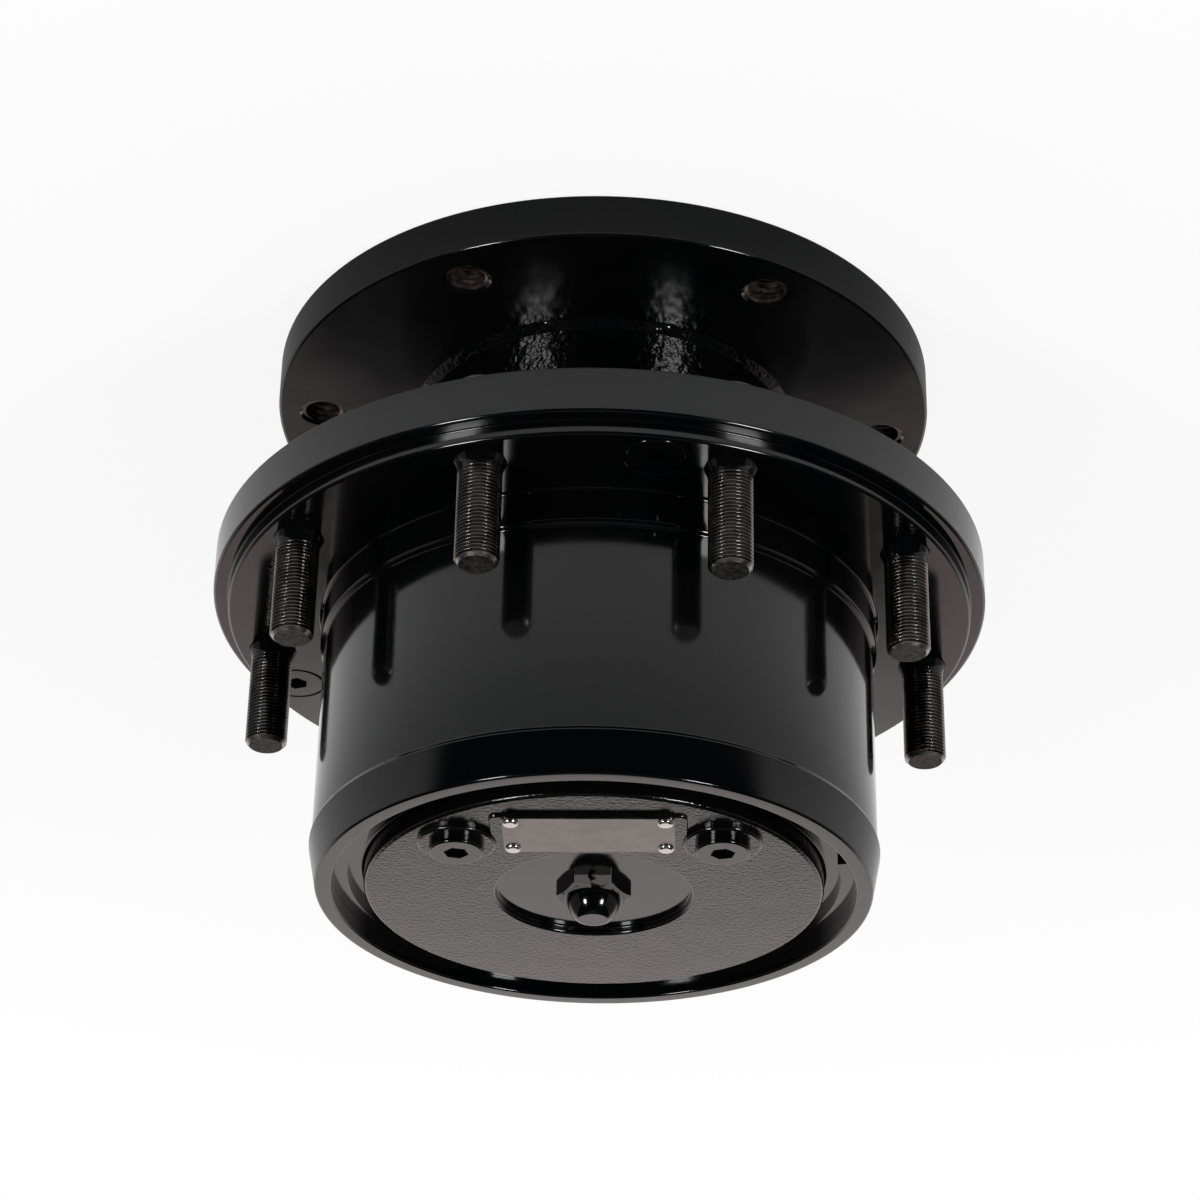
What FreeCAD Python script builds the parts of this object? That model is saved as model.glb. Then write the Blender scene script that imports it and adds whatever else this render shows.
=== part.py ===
"""Planetary wheel drive: a flanged hub that turns on a fixed spindle, with two planetary stages inside it.

Millimetres. The drive stands on the spindle's mounting face, at Z = 0, and its axis is +Z, towards the cover.
The axial sizes are a stack: each station below is the one before it plus a named length.
"""

import FreeCAD
import Part
import math
import os

Vector = FreeCAD.Vector
AXIS = Vector(0, 0, 1)

# Running and seating clearances
press_gap = 0.05
bearing_gap = 0.05
roller_gap = 0.1
seal_gap = 0.15
axial_play = 0.2
flank_gap = 0.075
thrust_gap = 0.3

# Spindle: mounting flange, cast neck and motor socket
spindle_flange_radius = 127.0
spindle_flange_thickness = 18.0
spindle_edge = 1.2
spindle_bolt_edge = 17.0
spindle_bolt_count = 6
spindle_bolt_radius = 7.9375
spindle_bolt_chamfer = 1.0
spindle_bolt_start = -62.5
neck_shoulder = 7.0
neck_length = 34.0
collar_step = 9.6
collar_gap = 4.0
collar_fillet = 3.0
collar_edge = 2.0
motor_pilot_radius = 50.8
motor_pilot_depth = 11.0
motor_bolt_spacing = 146.05
motor_bolt_radius = 6.35
motor_bolt_depth = 15.0
coupling_room = 4.0
passage_room = 2.4

# Hub: rear boss, wheel flange, barrel and tapered end band
boss_wall = 5.0
boss_edge = 3.0
boss_length = 34.9
hub_flange_radius = 146.05
hub_rim_thickness = 18.1
hub_edge = 1.2
hub_fillet = 6.0
wheel_face_ledge = 5.7
wheel_face_rise = 5.7
pilot_step = 1.575
pilot_length = 13.0
step_slope = 1.2
barrel_wall = 11.2
band_step = 0.95
band_length = 15.6
band_taper = 3.0
rim_edge = 0.8
cavity_step = 4.0
cavity_fillet = 4.0
cup_land = 4.0

# Wheel studs and the plugs in the wheel face
stud_edge = 13.35
stud_count = 9
stud_start = -70.6
stud_radius = 7.9375
stud_length = 40.8
stud_tip_chamfer = 1.6
stud_knurl = 0.5
stud_head_radius = 11.5
stud_head_height = 6.0
flange_plug_count = 3
flange_plug_start = -98.4
flange_plug_radius = 10.9
flange_plug_length = 14.0
flange_plug_socket = 8.0
flange_plug_socket_depth = 6.0

# Main seal and the two tapered roller bearings
seal_width = 11.0
seal_recess = 1.5
seal_height = 17.0
seal_wall = 3.0
seal_lip = 4.0
seal_to_bearing = 1.5
inboard_bore = 55.0
inboard_width = 24.0
outboard_bore = 44.0
outboard_width = 23.0
race_wall = 4.8
cone_shortfall = 1.0
cup_shortfall = 5.5
bearing_spacing = 14.0
roller_tilt = 14.0
roller_length = 15.0
roller_radius_inboard = 5.2
roller_radius_outboard = 5.8
roller_count = 22
cage_thickness = 1.6
cage_margin = 2.2
window_gap = 0.3
seat_relief = 1.0
shim_thickness = 1.0
shim_height = 9.0

# Gear teeth: one ring gear serves both stages
module = 3.0
pressure_angle = 25.0
ring_teeth = 54
output_sun_teeth = 18
input_sun_teeth = 12
planet_count = 3
addendum = 1.0
dedendum = 1.25
ring_rim = 7.25
ring_end_gap = 0.5
ring_pin_count = 4
ring_pin_radius = 3.0
ring_pin_length = 24.0

# Output stage
carrier_thickness = 13.0
carrier_bore_room = 4.0
carrier_margin = 7.0
carrier_bolt_inset = 14.0
carrier_bolt_count = 6
carrier_bolt_start = 30.0
carrier_bolt_radius = 4.0
carrier_bolt_grip = 18.0
carrier_bolt_head_radius = 6.5
carrier_bolt_head_height = 8.0
carrier_bolt_socket = 6.0
head_room = 0.3
carrier_dowel_count = 3
carrier_dowel_radius = 4.0
carrier_dowel_length = 20.0
output_pin_radius = 11.0
output_planet_width = 24.0
needle_thickness = 3.0
washer_thickness = 1.5
washer_width = 5.0
snap_thickness = 1.5
snap_depth = 1.2
snap_width = 3.4
snap_gap_angle = 30.0
pin_end = 1.5
sun_bore_room = 3.0
sun_washer_width = 9.0

# Input stage, input shaft and its coupling
stage_gap = 1.6
input_carrier_thickness = 9.0
input_carrier_margin = 5.0
input_pin_radius = 8.0
input_planet_width = 16.0
shaft_radius = 11.0
shaft_nose_radius = 7.0
shaft_nose_length = 3.6
spline_module = 1.5875
spline_teeth = 13
spline_pressure = 30.0
spline_addendum = 0.5
spline_dedendum = 0.7
spline_gap = 0.06
shaft_spline_length = 17.0
coupling_length = 34.0
coupling_wall = 8.0
coupling_end_gap = 0.5
spring_wire = 2.0
spring_length = 26.0
spring_turns = 5
spring_room = 0.6
spring_washer_width = 4.0

# Cover, its retaining ring and what is screwed into it
cover_seat_gap = 1.8
cover_shoulder = 3.0
cover_flange = 10.4
cover_moat = 11.5
cover_edge = 1.5
cover_face_drop = 0.7
cover_roof_gap = 1.6
cover_core_wall = 23.0
retainer_thickness = 3.2
retainer_depth = 5.6
retainer_groove = 3.2
retainer_showing = 5.5
retainer_gap_start = -167.0
retainer_gap_angle = 24.0
groove_play = 0.1
cover_ring_section = 1.7
ring_squeeze_room = 0.4
cover_turn = 2.2
pad_width = 69.0
pad_depth = 31.0
pad_edge_distance = 29.0
pad_rise = 1.0
pad_corner = 3.0
pad_edge = 0.6
plate_side_border = 4.5
plate_end_border = 2.0
plate_thickness = 0.8
plate_corner = 2.0
plate_screw_radius = 1.6
plate_screw_lip = 1.2
plate_screw_head = 1.0
plate_screw_round = 0.8
plate_screw_length = 6.0
plate_screw_inset = 3.2
oil_plug_edge_distance = 17.5
oil_plug_angle = 45.0
oil_boss_radius = 14.0
oil_boss_rise = 2.0
oil_plug_radius = 9.7
oil_plug_head = 3.0
oil_plug_edge = 0.8
oil_plug_lip = 2.7
oil_thread_length = 8.0
oil_plug_socket = 7.9
oil_socket_depth = 5.0
oil_ring_section = 0.9
recess_radius = 35.5
recess_depth = 2.8
cap_hex = 23.8
cap_hex_height = 4.4
cap_hex_chamfer = 1.5
cap_nose_inset = 1.9
cap_nose_taper = 3.8
cap_nose_height = 8.0
cap_nose_bulge = 0.7
cap_tip_round = 1.2
cap_stem_inset = 0.9
cap_stem_clearance = 0.6
cap_ring_section = 0.9
rod_radius = 6.0
rod_head_lip = 3.5
rod_head_thickness = 2.2

# Gear sizes that follow from the teeth
output_planet_teeth = (ring_teeth - output_sun_teeth) // 2
input_planet_teeth = (ring_teeth - input_sun_teeth) // 2
output_arm = module * (output_sun_teeth + output_planet_teeth) / 2
input_arm = module * (input_sun_teeth + input_planet_teeth) / 2
ring_tip_radius = module * (ring_teeth / 2 - addendum)
ring_root_radius = module * (ring_teeth / 2 + dedendum)
ring_radius = ring_root_radius + ring_rim
output_sun_tip = module * (output_sun_teeth / 2 + addendum)

# Spindle and bearing radii, from the bearing bores outwards
neck_radius = inboard_bore + neck_shoulder
collar_radius = neck_radius + collar_step
spindle_bolt_arm = spindle_flange_radius - spindle_bolt_edge
inboard_outside = inboard_bore + 2 * (race_wall + roller_radius_inboard)
outboard_outside = outboard_bore + 2 * (race_wall + roller_radius_outboard)

# Hub radii, from the ring gear outwards
ring_bore = ring_radius + press_gap
cavity_radius = ring_bore - cavity_step
barrel_radius = ring_radius + barrel_wall
pilot_radius = barrel_radius + pilot_step
band_radius = barrel_radius + band_step
mouth_radius = ring_radius + cover_shoulder
retainer_groove_radius = mouth_radius + retainer_groove
seal_radius = neck_radius + seal_height
boss_radius = seal_radius + boss_wall
wheel_face_radius = hub_flange_radius - wheel_face_ledge
stud_arm = wheel_face_radius - stud_edge

# Cover radii, from the hub's mouth inwards
cover_face_radius = mouth_radius - cover_moat
oil_plug_distance = cover_face_radius - oil_plug_edge_distance
pad_distance = cover_face_radius - pad_edge_distance
oil_thread_radius = oil_plug_radius - oil_plug_lip
cap_stem_radius = cap_hex / 2 - cap_stem_inset
cap_nose_radius = cap_hex / 2 - cap_nose_inset
cap_tip_radius = cap_nose_radius - cap_nose_taper

# Stations along the axis, from the mounting face upwards
hub_back = spindle_flange_thickness + neck_length
collar_front = hub_back - collar_gap
seal_back = hub_back + seal_recess
seal_front = seal_back + seal_width
inboard_back = seal_front + seal_to_bearing
inboard_cup_seat = inboard_back + inboard_width
outboard_cup_seat = inboard_cup_seat + bearing_spacing
outboard_back = outboard_cup_seat + outboard_width
nose = outboard_back + shim_thickness
carrier_front = nose + carrier_thickness
output_planet_back = carrier_front + washer_thickness + axial_play
output_planet_front = output_planet_back + output_planet_width
output_pin_front = output_planet_front + axial_play + washer_thickness + snap_thickness + pin_end
input_carrier_back = output_pin_front + stage_gap
input_carrier_front = input_carrier_back + input_carrier_thickness
input_planet_back = input_carrier_front + washer_thickness + axial_play
input_planet_front = input_planet_back + input_planet_width
input_pin_front = input_planet_front + axial_play + washer_thickness + snap_thickness + pin_end
cover_seat = input_planet_front + cover_seat_gap
cover_roof = input_pin_front + cover_roof_gap
cover_flange_front = cover_seat + cover_flange
retainer_front = cover_flange_front + retainer_thickness
hub_front = retainer_front + retainer_depth
cover_face = hub_front - cover_face_drop
recess_floor = cover_face - recess_depth
pad_face = cover_face + pad_rise
oil_boss_face = cover_face + oil_boss_rise
flange_back = hub_back + boss_length
rim_front = flange_back + hub_rim_thickness
wheel_face = rim_front + wheel_face_rise
cavity_floor = outboard_back - cup_shortfall
ring_seat = carrier_front + axial_play
coupling_back = motor_pilot_depth + snap_thickness + coupling_end_gap
coupling_front = coupling_back + coupling_length
chamber_front = coupling_front + coupling_end_gap
spring_back = coupling_front + snap_thickness
spring_front = spring_back + spring_length
shaft_front = input_planet_front + shaft_nose_length
rod_back = shaft_front + thrust_gap

# Shaft and coupling radii
spline_pitch_radius = spline_module * spline_teeth / 2
spline_tip = spline_pitch_radius + spline_module * spline_addendum
spline_root = spline_pitch_radius - spline_module * spline_dedendum
coupling_radius = spline_tip + coupling_wall
sun_bore = shaft_radius + sun_bore_room
carrier_bore = sun_bore + carrier_bore_room
carrier_bolt_arm = carrier_bore + carrier_bolt_inset
passage_radius = shaft_radius + spring_room + spring_wire + passage_room
chamber_radius = coupling_radius + coupling_room


# Shape helpers


def polar(radius, angle, height=0.0):
    """Point at a radius and an angle in degrees."""
    turn = math.radians(angle)
    return Vector(radius * math.cos(turn), radius * math.sin(turn), height)


def rounded_wire(corners):
    """Closed wire through (point, round) corners, with an arc at each corner that has a round."""
    runs = []
    count = len(corners)
    for index, (corner, corner_round) in enumerate(corners):
        if not corner_round:
            runs.append((corner, None, corner))
            continue
        to_last = (corners[index - 1][0] - corner).normalize()
        to_next = (corners[(index + 1) % count][0] - corner).normalize()
        half = to_last.getAngle(to_next) / 2
        middle = (to_last + to_next).normalize()
        reach = corner_round / math.tan(half)
        bulge = corner_round / math.sin(half) - corner_round
        runs.append((corner + to_last * reach, corner + middle * bulge, corner + to_next * reach))
    edges = []
    for index, (start, bend, end) in enumerate(runs):
        if bend:
            edges.append(Part.Arc(start, bend, end).toShape())
        edges.append(Part.LineSegment(end, runs[(index + 1) % count][0]).toShape())
    return Part.Wire(edges)


def turned(*corners):
    """Solid of revolution about Z, from (radius, height) or (radius, height, round) corners."""
    outline = []
    for corner in corners:
        corner_round = corner[2] if len(corner) > 2 else 0.0
        outline.append((Vector(corner[0], 0, corner[1]), corner_round))
    face = Part.Face(rounded_wire(outline))
    return face.revolve(Vector(), AXIS, 360)


def disc(radius, bottom, top, centre=Vector()):
    """Cylinder about the line through centre along Z."""
    return Part.makeCylinder(radius, top - bottom, Vector(centre.x, centre.y, bottom))


def ring(outer, inner, bottom, top, centre=Vector()):
    """Flat ring about the line through centre along Z."""
    return disc(outer, bottom, top, centre).cut(disc(inner, bottom, top, centre))


def o_ring(radius, section, height, centre=Vector()):
    """Torus of a round section."""
    return Part.makeTorus(radius, section, Vector(centre.x, centre.y, height))


def hexagon(across_flats, bottom, top, centre=Vector()):
    """Hexagonal prism with a flat towards -Y."""
    corner_radius = across_flats / math.sqrt(3)
    corners = [polar(corner_radius, 60 * step) for step in range(7)]
    prism = Part.Face(Part.makePolygon(corners)).extrude(Vector(0, 0, top - bottom))
    prism.translate(Vector(centre.x, centre.y, bottom))
    return prism


def rounded_plate(width, depth, corner, bottom, top):
    """Rectangular plate about the Z axis with round corners."""
    signs = ((-1, -1), (1, -1), (1, 1), (-1, 1))
    outline = [(Vector(x * width / 2, y * depth / 2, bottom), corner) for x, y in signs]
    return Part.Face(rounded_wire(outline)).extrude(Vector(0, 0, top - bottom))


def edges_at(shape, height):
    """Edges of a shape that lie flat at a height."""
    tolerance = 1e-6
    level = [edge for edge in shape.Edges if edge.BoundBox.ZLength < tolerance]
    return [edge for edge in level if abs(edge.BoundBox.ZMin - height) < tolerance]


def turned_copies(shape, count, start=0.0):
    """The shape, made at angle 0, at each place of a circle."""
    copies = []
    for step in range(count):
        copies.append(turn_about_axis(shape, start + 360.0 * step / count))
    return copies


def turn_about_axis(shape, angle):
    """Copy of a shape turned about Z by an angle in degrees."""
    copy = shape.copy()
    copy.rotate(Vector(), AXIS, angle)
    return copy


def shifted(shape, x, y=0.0, z=0.0):
    """Copy of a shape moved by a step."""
    copy = shape.copy()
    copy.translate(Vector(x, y, z))
    return copy


def group(shapes):
    """Separate solids that share one node."""
    return Part.makeCompound(shapes)


# Gear teeth


def involute_turn(base_radius, radius):
    """Angle in radians from an involute's start to its point at a radius."""
    lean = math.acos(base_radius / radius)
    return math.tan(lean) - lean


def toothed_face(gear_module, teeth, root_radius, tip_radius, gap, pressure):
    """Face with involute teeth, one centred on +X; each flank is an arc through three involute points."""
    pitch_radius = gear_module * teeth / 2
    base_radius = pitch_radius * math.cos(math.radians(pressure))
    flank_start = max(root_radius, base_radius)
    flank_radii = (flank_start, (flank_start + tip_radius) / 2, tip_radius)
    half_tooth = math.pi / (2 * teeth) - gap / pitch_radius + involute_turn(base_radius, pitch_radius)
    step = 360.0 / teeth

    def half_angle(radius):
        return math.degrees(half_tooth - involute_turn(base_radius, radius))

    edges = []
    for tooth in range(teeth):
        centre = tooth * step
        rising = [polar(radius, centre - half_angle(radius)) for radius in flank_radii]
        falling = [polar(radius, centre + half_angle(radius)) for radius in reversed(flank_radii)]
        root_half = half_angle(flank_start)
        root_before = polar(root_radius, centre - root_half)
        root_after = polar(root_radius, centre + root_half)
        root_next = polar(root_radius, centre + step - root_half)
        if flank_start > root_radius:
            edges.append(Part.LineSegment(root_before, rising[0]).toShape())
        edges.append(Part.Arc(*rising).toShape())
        edges.append(Part.Arc(rising[-1], polar(tip_radius, centre), falling[0]).toShape())
        edges.append(Part.Arc(*falling).toShape())
        if flank_start > root_radius:
            edges.append(Part.LineSegment(falling[-1], root_after).toShape())
        edges.append(Part.Arc(root_after, polar(root_radius, centre + step / 2), root_next).toShape())
    return Part.Face(Part.Wire(edges))


def toothed_bar(face, bottom, top):
    """Straight-toothed bar of a toothed face."""
    return shifted(face, 0, 0, bottom).extrude(Vector(0, 0, top - bottom))


def gear_face(teeth, gap=flank_gap):
    """External gear outline in the drive's own module."""
    root_radius = module * (teeth / 2 - dedendum)
    tip_radius = module * (teeth / 2 + addendum)
    return toothed_face(module, teeth, root_radius, tip_radius, gap, pressure_angle)


def spline_face(gap, growth):
    """Outline of the input spline, grown for the hole that it slides in."""
    return toothed_face(
        spline_module, spline_teeth, spline_root + growth, spline_tip + growth, gap, spline_pressure
    )


# Spindle


def make_spindle():
    """Fixed spindle: flange, cast collar, seal neck, bearing seats, nose and a stepped bore for the motor."""
    groove_radius = chamber_radius + snap_depth
    groove_back = coupling_back - coupling_end_gap - snap_thickness
    inboard_seat_front = inboard_cup_seat + seat_relief
    outboard_seat_back = outboard_cup_seat - seat_relief
    body = turned(
        (motor_pilot_radius, 0, spindle_edge),
        (spindle_flange_radius, 0, spindle_edge),
        (spindle_flange_radius, spindle_flange_thickness, spindle_edge),
        (collar_radius, spindle_flange_thickness, collar_fillet),
        (collar_radius, collar_front, collar_edge),
        (neck_radius, collar_front),
        (neck_radius, inboard_back, spindle_edge),
        (inboard_bore, inboard_back),
        (inboard_bore, inboard_seat_front),
        (outboard_bore, outboard_seat_back),
        (outboard_bore, nose, spindle_edge),
        (passage_radius, nose, spindle_edge),
        (passage_radius, chamber_front),
        (chamber_radius, chamber_front),
        (chamber_radius, groove_back + snap_thickness + groove_play),
        (groove_radius, groove_back + snap_thickness + groove_play),
        (groove_radius, groove_back),
        (motor_pilot_radius, groove_back),
    )
    bolt_hole = turned(
        (0, 0),
        (spindle_bolt_radius + spindle_bolt_chamfer, 0),
        (spindle_bolt_radius, spindle_bolt_chamfer),
        (spindle_bolt_radius, spindle_flange_thickness - spindle_bolt_chamfer),
        (spindle_bolt_radius + spindle_bolt_chamfer, spindle_flange_thickness),
        (0, spindle_flange_thickness),
    )
    cuts = turned_copies(shifted(bolt_hole, spindle_bolt_arm), spindle_bolt_count, spindle_bolt_start)
    motor_hole = disc(motor_bolt_radius, 0, motor_bolt_depth, Vector(motor_bolt_spacing / 2, 0, 0))
    cuts += turned_copies(motor_hole, 2)
    cuts += carrier_bolt_shanks(carrier_bolt_radius + press_gap)
    cuts += carrier_dowels(press_gap)
    return body.cut(cuts)


# Bearings and seal


class TaperedBearing:
    """Single-row tapered roller bearing; heights count from the cone's back face towards the small end."""

    def __init__(self, bore, outside, width, roller_radius):
        self.bore = bore
        self.outside = outside
        self.width = width
        self.roller_radius = roller_radius
        self.tilt = math.radians(roller_tilt)
        self.mid_radius = (bore + outside) / 2
        self.mid_height = width / 2
        apex_distance = self.mid_radius / math.sin(self.tilt)
        self.roller_taper = roller_radius / apex_distance

    def on_axis(self, along):
        """Radius and height of a point on a roller's axis."""
        return (
            self.mid_radius - along * math.sin(self.tilt),
            self.mid_height + along * math.cos(self.tilt),
        )

    def beside_axis(self, along, away):
        """Point at a distance from a roller's axis, outwards if positive."""
        radius, height = self.on_axis(along)
        return radius + away * math.cos(self.tilt), height + away * math.sin(self.tilt)

    def radius_at(self, along):
        return self.roller_radius - along * self.roller_taper

    def track(self, along, side):
        """Point of the cone's track (side -1) or the cup's track (side +1)."""
        return self.beside_axis(along, side * (self.radius_at(along) + roller_gap))

    def cone(self):
        end = roller_length / 2 + roller_gap
        rib = self.beside_axis(-end, -0.4 * self.radius_at(-end))
        lip = self.beside_axis(end, -0.75 * self.radius_at(end))
        cone_width = self.width - cone_shortfall
        return turned(
            (self.bore + press_gap, 0),
            (rib[0], 0),
            rib,
            self.track(-end, -1),
            self.track(end, -1),
            lip,
            (lip[0], cone_width),
            (self.bore + press_gap, cone_width),
        )

    def cup(self):
        back = cup_shortfall
        start = self.track(-roller_length / 2, 1)
        end = self.track(roller_length / 2, 1)
        slope = (end[0] - start[0]) / (end[1] - start[1])
        return turned(
            (self.outside - press_gap, back),
            (self.outside - press_gap, self.width),
            (start[0] + slope * (self.width - start[1]), self.width),
            (start[0] + slope * (back - start[1]), back),
        )

    def roller(self, growth=0.0):
        half = roller_length / 2 + growth
        start_radius, start_height = self.on_axis(-half)
        direction = Vector(-math.sin(self.tilt), 0, math.cos(self.tilt))
        return Part.makeCone(
            self.radius_at(-half) + growth,
            self.radius_at(half) + growth,
            2 * half,
            Vector(start_radius, 0, start_height),
            direction,
        )

    def rollers(self):
        return turned_copies(self.roller(), roller_count)

    def cage(self):
        reach = roller_length / 2 + cage_margin
        half = cage_thickness / 2
        shell = turned(
            self.beside_axis(-reach, -half),
            self.beside_axis(-reach, half),
            self.beside_axis(reach, half),
            self.beside_axis(reach, -half),
        )
        return shell.cut(turned_copies(self.roller(window_gap), roller_count))


def facing_up(shape, back):
    """Bearing piece with its back face below, at a height."""
    return shifted(shape, 0, 0, back)


def facing_down(shape, back):
    """Bearing piece turned over, with its back face above, at a height."""
    copy = shape.copy()
    copy.rotate(Vector(), Vector(1, 0, 0), 180)
    return shifted(copy, 0, 0, back)


def make_main_seal():
    """Lip seal: a cased outer wall pressed into the hub and a lip on the spindle's neck."""
    outer = seal_radius - press_gap
    lip = neck_radius + seal_gap
    return turned(
        (outer, seal_back),
        (outer, seal_front),
        (outer - seal_wall, seal_front),
        (outer - seal_wall, seal_back + seal_wall),
        (lip + seal_lip, seal_back + seal_wall),
        (lip + seal_lip, seal_front - seal_wall),
        (lip, seal_front - 2 * seal_wall),
        (lip + seal_lip / 2, seal_back),
    )


# Hub


def make_hub():
    """Hub casting: bored for seal, bearings, ring gear and cover, with the wheel flange round it."""
    groove_back = cover_flange_front - groove_play
    groove_front = retainer_front + groove_play
    pilot_front = wheel_face + pilot_length
    band_back = hub_front - band_length
    land_radius = outboard_outside - cup_land
    body = turned(
        (seal_radius, hub_back, spindle_edge),
        (boss_radius, hub_back, boss_edge),
        (boss_radius, flange_back, hub_fillet),
        (hub_flange_radius, flange_back, hub_edge),
        (hub_flange_radius, rim_front, hub_edge),
        (wheel_face_radius, rim_front),
        (wheel_face_radius, wheel_face, hub_edge),
        (pilot_radius, wheel_face, hub_edge),
        (pilot_radius, pilot_front, rim_edge),
        (barrel_radius, pilot_front + step_slope),
        (barrel_radius, band_back - step_slope),
        (band_radius, band_back),
        (band_radius - band_taper, hub_front, rim_edge),
        (mouth_radius, hub_front, rim_edge),
        (mouth_radius, groove_front),
        (retainer_groove_radius, groove_front),
        (retainer_groove_radius, groove_back),
        (mouth_radius, groove_back),
        (mouth_radius, cover_seat),
        (ring_bore, cover_seat),
        (ring_bore, ring_seat),
        (cavity_radius, ring_seat),
        (cavity_radius, cavity_floor, cavity_fillet),
        (outboard_outside, cavity_floor),
        (outboard_outside, outboard_cup_seat),
        (land_radius, outboard_cup_seat),
        (land_radius, inboard_cup_seat),
        (inboard_outside, inboard_cup_seat),
        (inboard_outside, seal_front),
        (seal_radius, seal_front),
    )
    stud_hole = disc(stud_radius + stud_knurl + press_gap, flange_back, wheel_face, polar(stud_arm, 0))
    plug_hole = disc(flange_plug_radius + press_gap, flange_back, wheel_face, polar(stud_arm, 0))
    cuts = turned_copies(stud_hole, stud_count, stud_start)
    cuts += turned_copies(plug_hole, flange_plug_count, flange_plug_start)
    cuts += ring_gear_pins(press_gap)
    return body.cut(cuts)


def make_wheel_studs():
    """Pressed-in wheel studs: round head behind the flange, knurled shank in it and thread in front of it."""
    knurl_radius = stud_radius + stud_knurl
    tip = wheel_face + stud_length
    stud = turned(
        (0, flange_back - stud_head_height),
        (stud_head_radius, flange_back - stud_head_height, hub_edge),
        (stud_head_radius, flange_back),
        (knurl_radius, flange_back),
        (knurl_radius, wheel_face),
        (stud_radius, wheel_face),
        (stud_radius, tip - stud_tip_chamfer),
        (stud_radius - stud_tip_chamfer, tip),
        (0, tip),
    )
    return group(turned_copies(shifted(stud, stud_arm), stud_count, stud_start))


def make_flange_plugs():
    """Socket plugs screwed in flush with the wheel face."""
    plug = disc(flange_plug_radius, wheel_face - flange_plug_length, wheel_face)
    plug = plug.cut(hexagon(flange_plug_socket, wheel_face - flange_plug_socket_depth, wheel_face))
    return group(turned_copies(shifted(plug, stud_arm), flange_plug_count, flange_plug_start))


# Ring gear


def ring_gear_pins(growth=0.0):
    """Pins half in the hub and half in the ring gear, which keep it from turning."""
    top = cover_seat - ring_end_gap
    pin = disc(ring_pin_radius + growth, top - ring_pin_length, top, polar(ring_radius, 0))
    return turned_copies(pin, ring_pin_count, 180.0 / ring_pin_count)


def make_ring_gear():
    """Internal gear; a tooth space is centred on +X."""
    top = cover_seat - ring_end_gap
    spaces = toothed_face(module, ring_teeth, ring_tip_radius, ring_root_radius, -flank_gap, pressure_angle)
    blank = disc(ring_radius, ring_seat, top)
    return blank.cut(toothed_bar(spaces, ring_seat, top)).cut(ring_gear_pins(press_gap))


# Pieces that both planetary stages share


def planet_places(shape, arm):
    """The shape, made on the axis, at each planet's place."""
    return turned_copies(shifted(shape, arm), planet_count)


def planet_gear(teeth, arm, width, pin_radius, back):
    """Planet gears, each with a tooth pointing outwards."""
    bore = pin_radius + bearing_gap + needle_thickness + press_gap
    gear = toothed_bar(gear_face(teeth), back, back + width).cut(disc(bore, back, back + width))
    return planet_places(gear, arm)


def planet_needles(arm, width, pin_radius, back):
    """Drawn-cup needle bearings pressed into the planets."""
    inner = pin_radius + bearing_gap
    return planet_places(ring(inner + needle_thickness, inner, back, back + width), arm)


def planet_pins(arm, pin_radius, back, planet_front, front):
    """Pins pressed into a carrier, each grooved for its snap ring."""
    groove = planet_front + axial_play + washer_thickness
    pin = turned(
        (0, back),
        (pin_radius, back),
        (pin_radius, groove),
        (pin_radius - snap_depth, groove),
        (pin_radius - snap_depth, groove + snap_thickness),
        (pin_radius, groove + snap_thickness),
        (pin_radius, front),
        (0, front),
    )
    return planet_places(pin, arm)


def planet_washers(arm, pin_radius, planet_back, planet_front):
    """Thrust washers at both ends of each planet."""
    inner = pin_radius + bearing_gap
    lower = planet_back - axial_play
    upper = planet_front + axial_play
    washers = planet_places(ring(inner + washer_width, inner, lower - washer_thickness, lower), arm)
    return washers + planet_places(ring(inner + washer_width, inner, upper, upper + washer_thickness), arm)


def snap_ring(inner, outer, bottom):
    """Open ring with its gap on +X."""
    half = math.radians(snap_gap_angle / 2)
    reach = 2 * outer
    opening = Part.makePolygon(
        [
            Vector(0, 0, bottom),
            Vector(reach, -reach * math.tan(half), bottom),
            Vector(reach, reach * math.tan(half), bottom),
            Vector(0, 0, bottom),
        ]
    )
    wedge = Part.Face(opening).extrude(Vector(0, 0, snap_thickness))
    return ring(outer, inner, bottom, bottom + snap_thickness).cut(wedge)


def pin_snap_rings(arm, pin_radius, planet_front):
    """Snap rings in the pins' grooves."""
    inner = pin_radius - snap_depth + press_gap
    bottom = planet_front + axial_play + washer_thickness
    return planet_places(snap_ring(inner, inner + snap_width, bottom), arm)


# Output stage


def carrier_bolt_shanks(radius):
    """Shanks of the screws that hold the output carrier on the spindle's nose."""
    head_seat = carrier_front - carrier_bolt_head_height - head_room
    shank = disc(radius, nose - carrier_bolt_grip, head_seat, polar(carrier_bolt_arm, 0))
    return turned_copies(shank, carrier_bolt_count, carrier_bolt_start)


def carrier_bolt_heads(radius, top):
    """Heads of those screws, or the counterbores for them."""
    head_seat = carrier_front - carrier_bolt_head_height - head_room
    head = disc(radius, head_seat, top, polar(carrier_bolt_arm, 0))
    return turned_copies(head, carrier_bolt_count, carrier_bolt_start)


def make_carrier_bolts():
    """Socket-head screws, sunk in the carrier."""
    top = carrier_front - head_room
    shanks = carrier_bolt_shanks(carrier_bolt_radius)
    heads = carrier_bolt_heads(carrier_bolt_head_radius, top)
    socket = hexagon(carrier_bolt_socket, top - carrier_bolt_head_height / 2, top)
    socket = shifted(socket, carrier_bolt_arm)
    sockets = turned_copies(socket, carrier_bolt_count, carrier_bolt_start)
    bolts = []
    for shank, head, hole in zip(shanks, heads, sockets):
        bolts.append(shank.fuse(head).cut(hole).removeSplitter())
    return group(bolts)


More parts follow.
